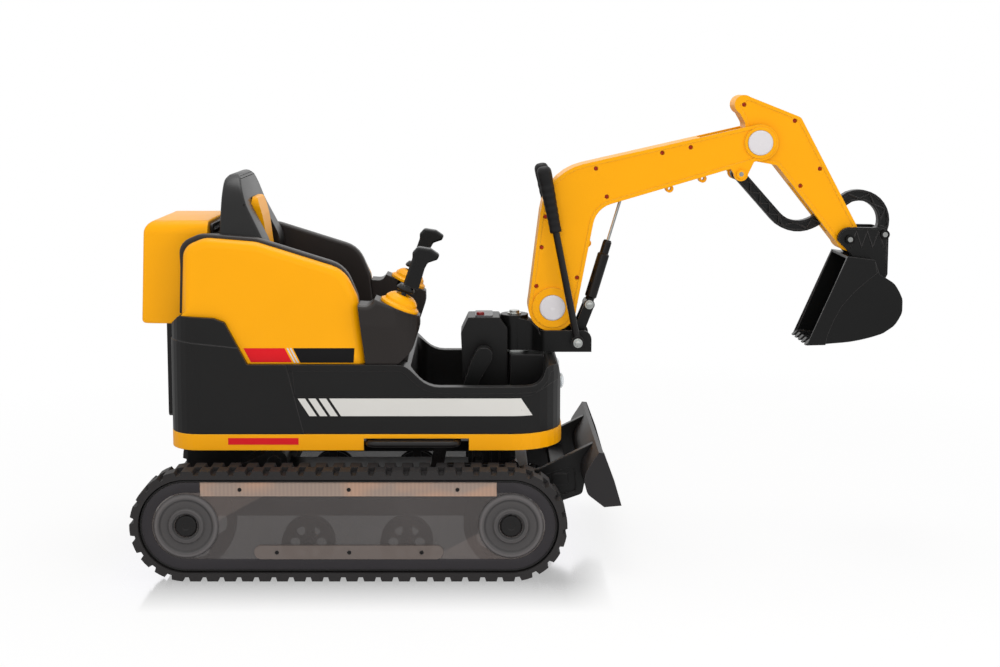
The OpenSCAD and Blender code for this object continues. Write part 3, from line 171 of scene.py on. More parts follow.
def add(tree, kind, settings=None, inputs=None, output=0):
    made = tree.nodes.new(kind)
    for name, value in (settings or {}).items():
        if name == "stops":
            ramp = made.color_ramp
            for spare in list(ramp.elements)[1:]:
                ramp.elements.remove(spare)
            for i, (place, colour) in enumerate(value):
                stop = ramp.elements[0] if i == 0 else ramp.elements.new(place)
                stop.position = place
                stop.color = colour
        else:
            setattr(made, name, value)
    for name, value in (inputs or {}).items():
        if isinstance(value, Socket):
            tree.links.new(value.socket, made.inputs[name])
        else:
            made.inputs[name].default_value = value
    return Socket(tree, made.outputs[output]) if made.outputs else None


def graded(tree, value, low, high, first=0.0, last=1.0):
    return add(tree, "ShaderNodeMapRange", {}, {"Value": value, 1: low, 2: high, 3: first, 4: last})


def drawing_xz(tree):
    place = add(tree, "ShaderNodeTexCoord", output="Object")
    x = add(tree, "ShaderNodeSeparateXYZ", {}, {0: place}, "X") + MIDDLE / 1000
    return x, add(tree, "ShaderNodeSeparateXYZ", {}, {0: place}, "Z")


print("socket class ready")

# %% [markdown]
# ## Studio
# The picture is a plain product shot: a white sweep, a large soft lamp in front to the left, a weaker one to the
# right and one above. Camera, glossy and clear rays see a white world, and the lamps stay at a plain level, so
# the colours come out about as they are written. Black faces would mirror the white floor and the front lamps and
# look grey, so glossy rays see a darker floor, and only the lamp above. Close to the tracks the floor mirrors.

# %% Light and floor
WORLD_LIGHT = 0.69
FLOOR_SIZE, FLOOR_WHITE, FLOOR_MIRRORED = 40, 0.9, 0.4
MIRROR_SHARE, MIRROR_ROUGH = 0.48, 0.12


def seen_white(tree):
    paths = tree.nodes.new("ShaderNodeLightPath")
    kinds = ("Is Camera Ray", "Is Glossy Ray", "Is Transmission Ray")
    seen = [Socket(tree, paths.outputs[kind]) for kind in kinds]
    return seen[0].either(seen[1]).either(seen[2]), seen[1]


def soft_lamp(name, place, aim, size, watts, mirrored):
    lamp = bpy.data.lights.new(name, "AREA")
    lamp.shape = "DISK"
    lamp.size = size
    lamp.energy = watts
    stand = bpy.data.objects.new(name, lamp)
    bpy.context.scene.collection.objects.link(stand)
    stand.location = place
    stand.visible_glossy = mirrored
    stand.rotation_euler = (Vector(aim) - Vector(place)).to_track_quat("-Z", "Y").to_euler()


studio = bpy.data.worlds.new("studio")
studio.use_nodes = True
bpy.context.scene.world = studio
backdrop = studio.node_tree
white_seen = seen_white(backdrop)[0]
strength = white_seen * (1 - WORLD_LIGHT) + WORLD_LIGHT
backdrop.links.new(strength.socket, backdrop.nodes["Background"].inputs["Strength"])
backdrop.nodes["Background"].inputs["Color"].default_value = (1, 1, 1, 1)
soft_lamp("key_lamp", (-0.5, -2.8, 1.5), (-0.1, 0, 0.3), size=1.5, watts=22, mirrored=False)
soft_lamp("fill_lamp", (1.9, -2.1, 1.2), (0.2, 0, 0.3), size=1.6, watts=12, mirrored=False)
soft_lamp("top_lamp", (-0.2, 0.3, 3.0), (-0.2, 0, 0.3), size=2.0, watts=30, mirrored=True)

deselect()
bpy.ops.mesh.primitive_plane_add(size=FLOOR_SIZE, location=(0, 0, 0))
floor = bpy.context.object
floor.name = "floor"
floor_finish = bpy.data.materials.new("floor_white")
floor_finish.use_nodes = True
tree = floor_finish.node_tree
tree.nodes.clear()
place = add(tree, "ShaderNodeTexCoord", output="Object")
spread = add(tree, "ShaderNodeVectorMath", {"operation": "LENGTH"}, {0: place}, "Value")
sideways = abs(add(tree, "ShaderNodeSeparateXYZ", {}, {0: place}, "Y"))
lengthways = abs(add(tree, "ShaderNodeSeparateXYZ", {}, {0: place}, "X") + MIDDLE / 1000)
mirror = graded(tree, sideways, 0.28, 0.44, MIRROR_SHARE, 0.0)
mirror = mirror * graded(tree, lengthways, 0.4, 0.5, 1.0, 0.0)
fade = graded(tree, spread, 0.7, 2.0, 0.8, 1.0)
seen, mirrored = seen_white(tree)
diffuse = add(tree, "ShaderNodeBsdfDiffuse", {}, {"Color": (FLOOR_WHITE, FLOOR_WHITE, FLOOR_WHITE, 1)})
bright = add(tree, "ShaderNodeEmission", {}, {"Color": (1, 1, 1, 1), "Strength": 1.0})
dim = add(tree, "ShaderNodeEmission", {}, {"Color": (1, 1, 1, 1), "Strength": FLOOR_MIRRORED})
glow = add(tree, "ShaderNodeMixShader", {}, {0: mirrored, 1: bright, 2: dim})
gloss = add(tree, "ShaderNodeBsdfGlossy", {}, {"Color": (0.97, 0.96, 1, 1), "Roughness": MIRROR_ROUGH})
mixed = add(tree, "ShaderNodeMixShader", {}, {0: seen * fade, 1: diffuse, 2: glow})
mixed = add(tree, "ShaderNodeMixShader", {}, {0: mirror, 1: mixed, 2: gloss})
add(tree, "ShaderNodeOutputMaterial", {}, {"Surface": mixed})
floor.data.materials.append(floor_finish)
bpy.context.scene.view_settings.view_transform = "Standard"
print("studio ready")

# %% [markdown]
# ## Finishes
# Most of the toy is moulded plastic. Real mouldings have a fine spark-eroded grain, slow changes of gloss and
# slightly rounded edges that catch the light. On most mouldings the edges get a painted highlight: their colour is
# made paler where a Bevel node turns the normal away from the face. All patterns read Object coordinates in metres,
# so a noise scale of 1500 gives grains of well under a millimetre.

# %% Building blocks for finishes
SLOW_SPOTS, SLOW_GLOSS, FINE_GLOSS = 6.0, 0.12, 0.06
# The first value is how far the painted edge highlight reaches from an edge.
HIGHLIGHT_REACH, BEVEL_SAMPLES = 0.0018, 4


def srgb(r, g, b):
    channels = [c / 255 for c in (r, g, b)]
    return tuple(((c + 0.055) / 1.055) ** 2.4 if c > 0.04 else c / 12.92 for c in channels) + (1.0,)


def blank(name):
    material = bpy.data.materials.new(name)
    material.use_nodes = True
    return material, material.node_tree, material.node_tree.nodes["Principled BSDF"]


def feed(tree, shader, **values):
    for name, value in values.items():
        socket = shader.inputs[name.replace("_", " ")]
        if isinstance(value, Socket):
            tree.links.new(value.socket, socket)
        else:
            socket.default_value = value


def spots(tree, scale, detail=2.0, stretch=(1, 1, 1)):
    place = add(tree, "ShaderNodeTexCoord", output="Object")
    if stretch != (1, 1, 1):
        place = add(tree, "ShaderNodeMapping", {}, {"Vector": place, "Scale": stretch})
    return add(tree, "ShaderNodeTexNoise", {}, {"Vector": place, "Scale": scale, "Detail": detail}, "Fac")


def blend_colours(tree, factor, first, second):
    inputs = {0: factor, 6: first, 7: second}
    return add(tree, "ShaderNodeMix", {"data_type": "RGBA"}, inputs, 2)


def shade(colour, k):
    return tuple(min(1.0, c * k) for c in colour[:3]) + (1.0,)


def bumped(tree, height, strength, distance, soft_edge=0.0):
    inputs = {"Height": height, "Strength": strength, "Distance": distance}
    if soft_edge:
        inputs["Normal"] = add(tree, "ShaderNodeBevel", {"samples": BEVEL_SAMPLES}, {"Radius": soft_edge})
    return add(tree, "ShaderNodeBump", {}, inputs)


def edges(tree, radius):
    softened = add(tree, "ShaderNodeBevel", {"samples": BEVEL_SAMPLES}, {"Radius": radius})
    facing = add(tree, "ShaderNodeNewGeometry", output="Normal")
    along = add(tree, "ShaderNodeVectorMath", {"operation": "DOT_PRODUCT"}, {0: softened, 1: facing}, "Value")
    return graded(tree, along, 0.99, 0.8)


def moulded(name, colour, rough, grain=1500, depth=0.00004, vary=0.06, soft_edge=0.0012,
            shine=0.5, metal=0.0, edge_highlight=0.0, highlight_colour=(96, 92, 92)):
    material, tree, shader = blank(name)
    shader.inputs["Specular IOR Level"].default_value = shine
    slow = spots(tree, SLOW_SPOTS)
    fine = spots(tree, grain, 1.0)
    tint = blend_colours(tree, slow, shade(colour, 1 - vary), shade(colour, 1 + vary))
    gloss = slow * SLOW_GLOSS + fine * FINE_GLOSS + (rough - (SLOW_GLOSS + FINE_GLOSS) / 2)
    # Painted highlight: the edge mask paints the edges in a paler colour, as if light catches them.
    if edge_highlight:
        highlight_share = edges(tree, HIGHLIGHT_REACH) * (slow * 0.3 + 0.7) * edge_highlight
        tint = blend_colours(tree, highlight_share, tint, srgb(*highlight_colour))
    feed(tree, shader, Base_Color=tint, Roughness=gloss, Metallic=metal)
    feed(tree, shader, Normal=bumped(tree, fine, 0.35, depth, soft_edge))
    return material


YELLOW, BLACK = srgb(243, 165, 0), srgb(12, 11, 11)
print("yellow in linear light", [round(v, 3) for v in YELLOW])

# %% [markdown]
# The yellow shells are smooth and slightly glossy, the black mouldings are grained and satin, the rubber is
# matt, and the small metal pieces are zinc plated or powder coated.

# %% Finishes of the toy
# The edge values in these calls give each moulding a painted highlight, a paler colour along its edges.
yellow_shell = moulded("yellow_shell", YELLOW, 0.34, 700, 0.00002, 0.05, 0.002, shine=0.18,
                       edge_highlight=0.7, highlight_colour=(255, 212, 80))
black_shell = moulded("black_shell", BLACK, 0.36, 1700, 0.00006, 0.12, 0.003, shine=0.42, edge_highlight=0.4)
black_warm = moulded("black_warm", srgb(34, 29, 27), 0.38, 1700, 0.00006, 0.12, 0.003, shine=0.42, edge_highlight=0.4)
black_satin = moulded("black_satin", srgb(10, 10, 10), 0.32, 1200, 0.00003, 0.12, 0.002, shine=0.36, edge_highlight=0.8)
belt_rubber = moulded("belt_rubber", srgb(42, 40, 40), 0.6, 900, 0.00012, 0.18, shine=0.25)
grip_rubber = moulded("grip_rubber", srgb(18, 17, 18), 0.52, 1500, 0.0001, 0.12, shine=0.3)
wheel_black = moulded("wheel_black", srgb(24, 23, 23), 0.44, 1200, 0.00005, 0.12, shine=0.3)
cap_white = moulded("cap_white", srgb(212, 208, 210), 0.3, 700, 0.00002, 0.03, shine=0.3)
blade_grey = moulded("blade_grey", srgb(38, 36, 37), 0.4, 1400, 0.00005, 0.12, shine=0.3, edge_highlight=0.6)
powder_black = moulded("powder_black", srgb(21, 19, 19), 0.3, 700, 0.00008, 0.1, shine=0.35)
battery_case = moulded("battery_case", srgb(64, 66, 72), 0.5, 1200)
button_red = moulded("button_red", srgb(118, 18, 20), 0.28, 700, 0.00002)
zinc = moulded("zinc", srgb(205, 208, 205), 0.34, 500, 0.00003, 0.1, 0.0006, metal=1.0)
dark_screw = moulded("dark_screw", srgb(186, 52, 16), 0.42, 500, 0.00003, 0.1, 0.0004)
print("finishes", len(bpy.data.materials))

# %% [markdown]
# The track covers are smoky clear plastic. The long strip along the top and the bar low down are raised and
# moulded over a light backing, so they look paler and less clear. Fine lines hatch a triangle beside each hub.
# The same cell makes the clear lenses, the brushed panel, the pins with a bright bolt in each end and the hubs with
# painted rings: painted shade in the grooves, painted highlight on the crests and edges. All places come from the
# drawing.

# %% Smoky covers and other special finishes
STRIP_LOW, STRIP_HALF = 0.1615, 0.276
BAR_Z, BAR_HALF, BAR_R = 0.055, 0.1635, 0.0135
HATCH_LEAN, HATCH_OVER, HATCH_UNDER, HATCH_PITCH = 0.55, 0.249, -0.042, 0.0036
STRIP_RIB_PITCH = 0.0074
RING_REACH = 70
# Each ring is a radius in mm and a grey level. The dark centre is the cap, dark rings are painted shade in the
# grooves, and light rings are painted highlight on the crests.
HUB_RING_SHADES = [(0, 40), (23, 40), (24.5, 26), (26, 66), (32, 72), (34, 40), (36, 62), (46, 68), (48.5, 38), (51, 64),
             (56, 92), (61, 60)]


def smoky():
    material, tree, shader = blank("smoky_cover")
    x, z = drawing_xz(tree)
    upper = (z > STRIP_LOW) * (abs(x) < STRIP_HALF)
    beyond = (abs(x) - BAR_HALF).either(0.0)
    lower = (beyond * beyond + (z - BAR_Z) * (z - BAR_Z)) < BAR_R ** 2
    pale = upper.either(lower)
    slope = z - x * HATCH_LEAN
    hatched = (slope > HATCH_OVER).either(slope < HATCH_UNDER) * (1 - pale)
    lines = ((x + z) % HATCH_PITCH) > HATCH_PITCH / 2
    ribs = (x % STRIP_RIB_PITCH) > STRIP_RIB_PITCH / 2
    slow = spots(tree, 7.0)
    patch = graded(tree, spots(tree, 13.0, 2.0, (1, 1, 1.6)), 0.42, 0.62)
    dark = blend_colours(tree, slow, srgb(70, 66, 65), srgb(86, 81, 80))
    dark = blend_colours(tree, hatched * (lines * 0.4 + 0.2), dark, srgb(116, 104, 99))
    light = blend_colours(tree, patch, srgb(158, 139, 127), srgb(182, 148, 127))
    light = blend_colours(tree, ribs * 0.12, light, srgb(90, 78, 70))
    tint = blend_colours(tree, lower, blend_colours(tree, upper, dark, light), srgb(106, 96, 91))
    feed(tree, shader, Base_Color=tint, Alpha=pale * 0.12 + 0.74, Roughness=slow * 0.1 + 0.12)
    height = spots(tree, 300.0) + lines * hatched + ribs * upper
    feed(tree, shader, Normal=bumped(tree, height, 0.1, 0.00004))
    return material


def clear(name, colour, alpha):
    material, tree, shader = blank(name)
    tint = blend_colours(tree, spots(tree, 60.0), shade(colour, 0.95), shade(colour, 1.05))
    feed(tree, shader, Base_Color=tint, Alpha=alpha, Roughness=spots(tree, 200.0) * 0.04 + 0.04)
    return material


def brushed(name, colour):
    material, tree, shader = blank(name)
    lines = spots(tree, 40.0, 4.0, (1, 60, 1))
    tint = blend_colours(tree, lines, shade(colour, 0.85), shade(colour, 1.1))
    feed(tree, shader, Base_Color=tint, Metallic=0.7, Roughness=lines * 0.2 + 0.25)
    feed(tree, shader, Normal=bumped(tree, lines, 0.15, 0.00005))
    return material


def bolted(name, colour, centres, r):
    material, tree, shader = blank(name)
    place = add(tree, "ShaderNodeTexCoord", output="Object")
    flat = add(tree, "ShaderNodeVectorMath", {"operation": "MULTIPLY"}, {0: place, 1: (1, 0, 1)}, "Vector")
    bright = None
    for x, z in centres:
        far = add(tree, "ShaderNodeVectorMath", {"operation": "DISTANCE"}, {0: flat, 1: at(x, 0, z)}, "Value")
        bright = (far < r) if bright is None else bright.either(far < r)
    grain = spots(tree, 500.0)
    plated = blend_colours(tree, grain, srgb(150, 152, 150), srgb(196, 198, 196))
    tint = blend_colours(tree, bright, colour, plated)
    feed(tree, shader, Base_Color=tint, Metallic=bright * 0.9, Roughness=grain * 0.1 + 0.3)
    feed(tree, shader, Normal=bumped(tree, grain + bright * 2, 0.3, 0.0003, 0.0008))
    shader.inputs["Specular IOR Level"].default_value = 0.2
    return material


def ring_shaded(name, rings):
    material, tree, shader = blank(name)
    x, z = drawing_xz(tree)
    x, z = abs(x) - WHEEL_X / 1000, z - TRACK_MID / 1000
    squared = x * x + z * z
    far = squared.math("SQRT", squared)
    # The ring stops paint shade into the grooves and highlight onto the crests.
    stops = [(r / RING_REACH, srgb(k, k * 0.96, k * 0.96)) for r, k in rings]
    tint = add(tree, "ShaderNodeValToRGB", {"stops": stops}, {0: far * (1000 / RING_REACH)}, "Color")
    fine = spots(tree, 1300.0, 1.0)
    # Painted highlight: the hub's edges are painted paler.
    tint = blend_colours(tree, edges(tree, 0.0016) * 0.5, tint, srgb(128, 122, 120))
    feed(tree, shader, Base_Color=tint, Roughness=fine * 0.08 + 0.32)
    feed(tree, shader, Normal=bumped(tree, fine, 0.35, 0.00004, 0.002))
    return material


smoky_cover = smoky()
hub_grey = ring_shaded("hub_grey", HUB_RING_SHADES)
boom_bolts = bolted("boom_bolts", YELLOW, [(762, 747)], 0.0045)
bucket_bolts = bolted("bucket_bolts", BLACK, [(981, 617), (1050, 627)], 0.005)
lamp_clear = clear("lamp_clear", srgb(225, 232, 238), 0.45)
panel_silver = brushed("panel_silver", srgb(112, 112, 114))
print("clear and brushed finishes ready")

# %% [markdown]
# ## Dressing the solids
# Each solid takes the finish of the real moulding. The list goes by finish, with all nodes that share it.

# %% Dress
SIDES = ("right", "left")
WHEELS = ("drive_wheel", "idler_wheel", "rear_road_wheel", "front_road_wheel")
dressing = {
    yellow_shell: ["skirt", "side_panels", "seat_back_insert", "rear_box", "console_domes"]
    + [f"{part}_{side}_shell" for part in ("boom", "stick") for side in SIDES],
    black_shell: ["chassis_frame", "track_frames", "gearmotors", "lower_body", "rear_plate", "seat_back",
                  "rear_grille", "front_console", "blade_arms"],
    black_warm: ["armrests", "seat_shell", "console_pods"],
    black_satin: ["swing_bracket", "bucket_link", "bucket", "bucket_bracket", "drive_pedal"]
    + [f"{side}_joystick" for side in SIDES],
    belt_rubber: [f"{side}_track_belt" for side in SIDES],
    grip_rubber: [f"{side}_grip" for side in SIDES],
    smoky_cover: ["track_covers"],
    hub_grey: ["hub_rings"],
    wheel_black: [f"{side}_{wheel}" for side in SIDES for wheel in WHEELS] + ["wheel_axles"],
    zinc: ["king_post", "strut_rod"],
    boom_bolts: ["boom_pins"],
    bucket_bolts: ["bucket_pins"],
    battery_case: ["battery"],
    panel_silver: ["control_panel"],
    lamp_clear: ["headlights"],
    cap_white: ["pivot_caps"],
    powder_black: ["strut_cylinder", "right_lever", "left_lever", "blade_handle", "blade_rod"],
    button_red: ["power_button"],
    blade_grey: ["dozer_blade"],
}


def dress(piece, finish):
    if not piece.material_slots:
        piece.data.materials.append(finish)
    for place in piece.material_slots:
        place.material = finish


for finish, names in dressing.items():
    for name in names:
        dress(nodes[name], finish)
undressed = set(nodes) - {name for names in dressing.values() for name in names}
print("undressed", sorted(undressed))

# %% [markdown]
# ## Rounded mouldings
# The solids have crisp edges where the real mouldings are generously rounded. A copy of each solid is merged
# into one skin, its flat faces are joined again, and the Bevel operator rounds only the edges that are chosen
# by their place. The copy then stands for the solid in the picture. Flat side faces are shaded flat, because a
# smooth normal across such a large face would make blotches.

# %% Round a copy
MERGE, FLAT_WITHIN, SMOOTH_BELOW = 0.00002, math.radians(0.6), math.radians(32)
BODY_OF = {node: body for body, members in frame["record"]["behaviour"]["bodies"].items() for node in members}


def skin_of(node, name, joined=True):
    piece = bpy.data.objects.new(name, nodes[node].data.copy())
    bpy.context.scene.collection.objects.link(piece)
    pick(piece)
    edit_all()
    bpy.ops.mesh.remove_doubles(threshold=MERGE)
    if joined:
        bpy.ops.mesh.dissolve_limited(angle_limit=FLAT_WITHIN)
    stop_editing()
    return piece


def smooth(piece):
    bpy.ops.object.shade_smooth_by_angle(angle=SMOOTH_BELOW)
    for face in piece.data.polygons:
        if abs(face.normal.y) > 0.999:
            face.use_smooth = False


def choose_edges(piece, wanted):
    pick(piece)
    bpy.ops.object.mode_set(mode="EDIT")
    bpy.ops.mesh.select_mode(type="EDGE")
    bpy.ops.mesh.select_all(action="DESELECT")
    shape = bmesh.from_edit_mesh(piece.data)
    found = [edge for edge in shape.edges if wanted(edge, edge.verts[0].co, edge.verts[1].co)]
    for edge in found:
        edge.select_set(True)
    bmesh.update_edit_mesh(piece.data)
    return len(found)


def soften(piece, width, chosen, segments=4, sharp=40):
    def wanted(edge, a, b):
        bend = edge.calc_face_angle(0) if len(edge.link_faces) == 2 else 0
        return bend > math.radians(sharp) and chosen(a, b)

    count = choose_edges(piece, wanted)
    bpy.ops.mesh.bevel(offset=width, segments=segments, affect="EDGES", clamp_overlap=False)
    stop_editing()
    smooth(piece)
    print(piece.name, "rounded edges", count, "faces", len(piece.data.polygons))


def stands_for(piece, node):
    dress(piece, nodes[node].material_slots[0].material)
    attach(piece, BODY_OF[node])
    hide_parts(node)


def on_side(y, a, b, gap=0.0003):
    return abs(abs(a.y) - y) < gap and abs(abs(b.y) - y) < gap


SEAT, SHOULDER = 0.396, 0.488
BEHIND_SEAT, REST_REAR = at(-190, 0, 0).x, at(-270, 0, 0).x
PANEL_SIDE, REST_OUTER, REST_INNER = 0.193, 0.172, 0.148
PANEL_ROUND, REST_ROUND, REST_LONGER = 0.016, 0.005, 0.009


def panel_edge(y):
    def chosen(a, b):
        low = SEAT if (a.x + b.x) / 2 > BEHIND_SEAT else SHOULDER
        return on_side(y, a, b) and min(a.z, b.z) > low - 0.001 and max(a.z, b.z) > SEAT + 0.004

    return chosen


panels = skin_of("side_panels", "rounded_side_panels")
soften(panels, PANEL_ROUND, panel_edge(PANEL_SIDE), segments=6)
stands_for(panels, "side_panels")
outer_edge, inner_edge = panel_edge(REST_OUTER), panel_edge(REST_INNER)
rests = skin_of("armrests", "rounded_armrests")
soften(rests, REST_ROUND, lambda a, b: outer_edge(a, b) or inner_edge(a, b))
for v in rests.data.vertices:
    if v.co.x < REST_REAR and v.co.z > SHOULDER + 0.002:
        v.co.x -= REST_LONGER
stands_for(rests, "armrests")

# %% [markdown]
# The rear box, the seat back, the console pods and the joystick handles are rounded in the same way. Each rule
# names the edges by their place: the box's upright rear edges, the rim of the seat back, the outer faces of the
# pods and both faces of the handles.

# %% More rounded mouldings
BOX_REAR, BOX_SIDE, BOX_ROUND = at(-392, 0, 0).x, 0.1, 0.005
BACK_LOW, BACK_SIDE, BACK_ROUND = 0.6, 0.066, 0.005
POD_SIDE, POD_LOW, POD_ROUND = 0.213, SEAT + 0.095, 0.007
HANDLE_SIDES, HANDLE_FOOT, HANDLE_ROUND = (0.162, 0.186), 0.4, 0.0042


def box_edge(a, b):
    return max(a.x, b.x) < BOX_REAR and min(abs(a.y), abs(b.y)) > BOX_SIDE


def back_edge(a, b):
    return min(a.z, b.z) > BACK_LOW and max(abs(a.y), abs(b.y)) > BACK_SIDE


def pod_edge(a, b):
    return on_side(POD_SIDE, a, b) and min(a.z, b.z) > POD_LOW


for node, width, chosen in [
    ("rear_box", BOX_ROUND, box_edge), ("seat_back", BACK_ROUND, back_edge), ("console_pods", POD_ROUND, pod_edge),
]:
    copy = skin_of(node, f"rounded_{node}")
    soften(copy, width, chosen)
    stands_for(copy, node)
for side in SIDES:
    handle = skin_of(f"{side}_joystick", f"{side}_rounded_joystick")
    heights = [v.co.z for v in handle.data.vertices]
    foot = min(heights) + HANDLE_FOOT * (max(heights) - min(heights))

    def handle_edge(a, b):
        return any(on_side(y, a, b) for y in HANDLE_SIDES) and min(a.z, b.z) > foot

    soften(handle, HANDLE_ROUND, handle_edge, sharp=30)
    stands_for(handle, f"{side}_joystick")

# %% [markdown]
# The grips on the long levers are soft rubber sleeves, and their rings hardly show. A voxel Remesh gives a sleeve
# an even net, a Smooth modifier melts the rings away, and a Displace gives back the thickness that smoothing takes.

# %% Soft grips
GRIP_NET, RUBS, THICKER = 0.0012, 70, 0.0008
for side in SIDES:
    grip = skin_of(f"{side}_grip", f"{side}_soft_grip")
    for kind, values in [
        ("REMESH", {"mode": "VOXEL", "voxel_size": GRIP_NET}),
        ("SMOOTH", {"factor": 0.5, "iterations": RUBS}),
        ("DISPLACE", {"strength": THICKER, "mid_level": 0}),
    ]:
        bpy.ops.object.modifier_add(type=kind)
        change = grip.modifiers[-1]
        for key, value in values.items():
            setattr(change, key, value)
        bpy.ops.object.modifier_apply(modifier=change.name)
    bpy.ops.object.shade_smooth()
    stands_for(grip, f"{side}_grip")
    print(grip.name, "faces", len(grip.data.polygons))

# %% [markdown]
# The bucket's back is one round sweep, while the solid has straight walls between its corners. The edges along
# the side outline of these walls are subdivided, and each new point is pushed outwards, most in the middle of its
# wall but never beyond the solid's farthest point. The bracket's plates lose the corner in front of the bucket's
# mouth with a Bisect.

# %% Bucket
SWEEP = [((1064, 533), (1086, 487), 2.7), ((1086, 487), (1058, 437), 3.8), ((1058, 437), (971, 414), 3.0)]
WALL_INSIDE, WALL_OUTSIDE, SHORTEST, WALL_CUTS = -0.012, 0.003, 0.008, 7
CORNER_PLACE, CORNER_NORMAL = at(957, 0, 615), (-31, 0, -14)


def along_wall(point):
    for (x0, z0), (x1, z1), bulge in SWEEP:
        start, end = at(x0, 0, z0), at(x1, 0, z1)
        run = end - start
        flat = Vector((point.x, 0, point.z)) - start
        t = flat.dot(run) / run.length_squared
        out = Vector((-run.z, 0, run.x)).normalized()
        if 0 < t < 1 and WALL_INSIDE < flat.dot(out) < WALL_OUTSIDE:
            return out * bulge / 1000 * 4 * t * (1 - t)
    return None


def wall_edge(edge, a, b):
    return abs(a.y - b.y) < 0.001 and edge.calc_length() > SHORTEST and along_wall((a + b) / 2) is not None


scoop = skin_of("bucket", "rounded_bucket")
walls = choose_edges(scoop, wall_edge)
bpy.ops.mesh.subdivide(number_cuts=WALL_CUTS)
stop_editing()
farthest = max(v.co.x for v in scoop.data.vertices)
for v in scoop.data.vertices:
    v.co += along_wall(v.co) or Vector()
    v.co.x = min(v.co.x, farthest)
smooth(scoop)
stands_for(scoop, "bucket")
print(scoop.name, "walls", walls, "faces", len(scoop.data.polygons))
plates = skin_of("bucket_bracket", "cut_bucket_bracket", joined=False)
edit_all()
bpy.ops.mesh.bisect(plane_co=CORNER_PLACE, plane_no=CORNER_NORMAL, use_fill=True, clear_outer=True)
stop_editing()
smooth(plates)
stands_for(plates, "bucket_bracket")
print(plates.name, "faces", len(plates.data.polygons))

# %% [markdown]
# The S link is an open channel with zigzag ribs. The solid has them in its bends, and the straight run between the
# boom's ears and the first bend gets its ribs here. Each zig and zag is a bevelled bar on both faces of the link,
# and the bars are joined.

# %% Ribs of the link
LINK_START, LINK_END, LINK_WEB, LINK_HALF = at(773, 0, 734.5), at(850, 0, 648), 0.0044, 0.0094
RIBS, RIB_REACH, RIB_THICK, RIB_ROUND = 8, 0.0072, 0.0026, 0.0005
link_run = LINK_END - LINK_START
across = Vector((-link_run.z, 0, link_run.x)).normalized() * RIB_REACH
zigzag = [LINK_START + link_run * k / RIBS + across * (1 if k % 2 else -1) for k in range(RIBS + 1)]
bars = []
for start, end in zip(zigzag, zigzag[1:]):
    reach = end - start
    lean = math.atan2(reach.z, reach.x)
    for face in (-1, 1):
        middle = (start + end) / 2 + Vector((0, face * (LINK_WEB + LINK_HALF) / 2, 0))
        deselect()
        bpy.ops.mesh.primitive_cube_add(size=1, location=middle, rotation=(0, -lean, 0))
        bar = bpy.context.object
        bar.scale = (reach.length, LINK_HALF - LINK_WEB, RIB_THICK)
        bpy.ops.object.transform_apply(location=True, rotation=True, scale=True)
        edit_all()
        bpy.ops.mesh.bevel(offset=RIB_ROUND, segments=2, affect="EDGES")
        stop_editing()
        bars.append(bar)
link_ribs = join(bars, "link_ribs")
dress(link_ribs, black_satin)
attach(link_ribs, BODY_OF["bucket_link"])
print(link_ribs.name, len(bars), "bars")

# %% [markdown]
# ## Screws and bolts
# The shells are held by cross-head screws at the bottom of deep holes. One screw is turned, its cross is cut
# with a Boolean, and the copies are set in the holes of the drawing and joined into one piece per body.

# %% Screw and bolt masters
OUTWARD = {-1: 0.0, 1: math.pi, "front": math.pi / 2}


def turned(name, profile, steps=24):
    mesh = bpy.data.meshes.new(name)
    mesh.from_pydata([(r, -h, 0) for r, h in profile], [(i, i + 1) for i in range(len(profile) - 1)], [])
    piece = bpy.data.objects.new(name, mesh)
    bpy.context.scene.collection.objects.link(piece)
    pick(piece)
    edit_all()
    bpy.ops.mesh.spin(steps=steps, angle=2 * math.pi, center=(0, 0, 0), axis=(0, 1, 0))
    bpy.ops.mesh.select_all(action="SELECT")
    bpy.ops.mesh.remove_doubles(threshold=0.00001)
    bpy.ops.mesh.normals_make_consistent(inside=False)
    stop_editing()
    bpy.ops.object.shade_smooth_by_angle(angle=math.radians(35))
    return piece


def cut(piece, cutter):
    pick(piece)
    tool = piece.modifiers.new("cut", "BOOLEAN")
    tool.operation = "DIFFERENCE"
    tool.solver = "EXACT"
    tool.object = cutter
    bpy.ops.object.modifier_apply(modifier="cut")
    bpy.data.objects.remove(cutter)


def slot_blade(r, front, turn):
    deselect()
    bpy.ops.mesh.primitive_cube_add(size=1, location=(0, -front, 0), rotation=(0, turn, 0))
    blade = bpy.context.object
    blade.scale = (r * 1.2, r * 0.7, r * 0.26)
    return blade


def stamp(master, name, places, body, finish):
    copies = []
    for place, facing in places:
        copy = master.copy()
        copy.data = master.data.copy()
        bpy.context.scene.collection.objects.link(copy)
        copy.location = place
        copy.rotation_euler = (0, 0, OUTWARD[facing])
        copies.append(copy)
    piece = join(copies, name)
    bpy.ops.object.transform_apply(location=True, rotation=True, scale=True)
    dress(piece, finish)
    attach(piece, body)
    print(name, len(places), "copies")


def cross_screw(r):
    head = r * 0.55
    screw = turned("screw", [(0, -0.001), (r, -0.001), (r, head * 0.4), (r * 0.8, head * 0.85), (0, head)])
    for turn in (0, math.pi / 2):
        cut(screw, slot_blade(r, head, turn))
    return screw


SCREW_R = 0.0038
screw = cross_screw(SCREW_R)
print("screw faces", len(screw.data.polygons))

# %% [markdown]
# The places are those of the drawing: along both edges of the boom and the stick, and on the strips of the
# track covers.

# %% Screws in their holes
FOOT, ELBOW = (390, 480), (799, 809)
BOOM_HALF, STICK_HALF, HOLE_DEPTH = 40, 29, 9
STRIP_FACE, BAR_FACE = 276.1, 277.7


def around(centre, offsets):
    return [(centre[0] + dx, centre[1] + dz) for dx, dz in offsets]


def both_sides(points, y):
    return [(at(x, side * y, z), side) for x, z in points for side in (-1, 1)]


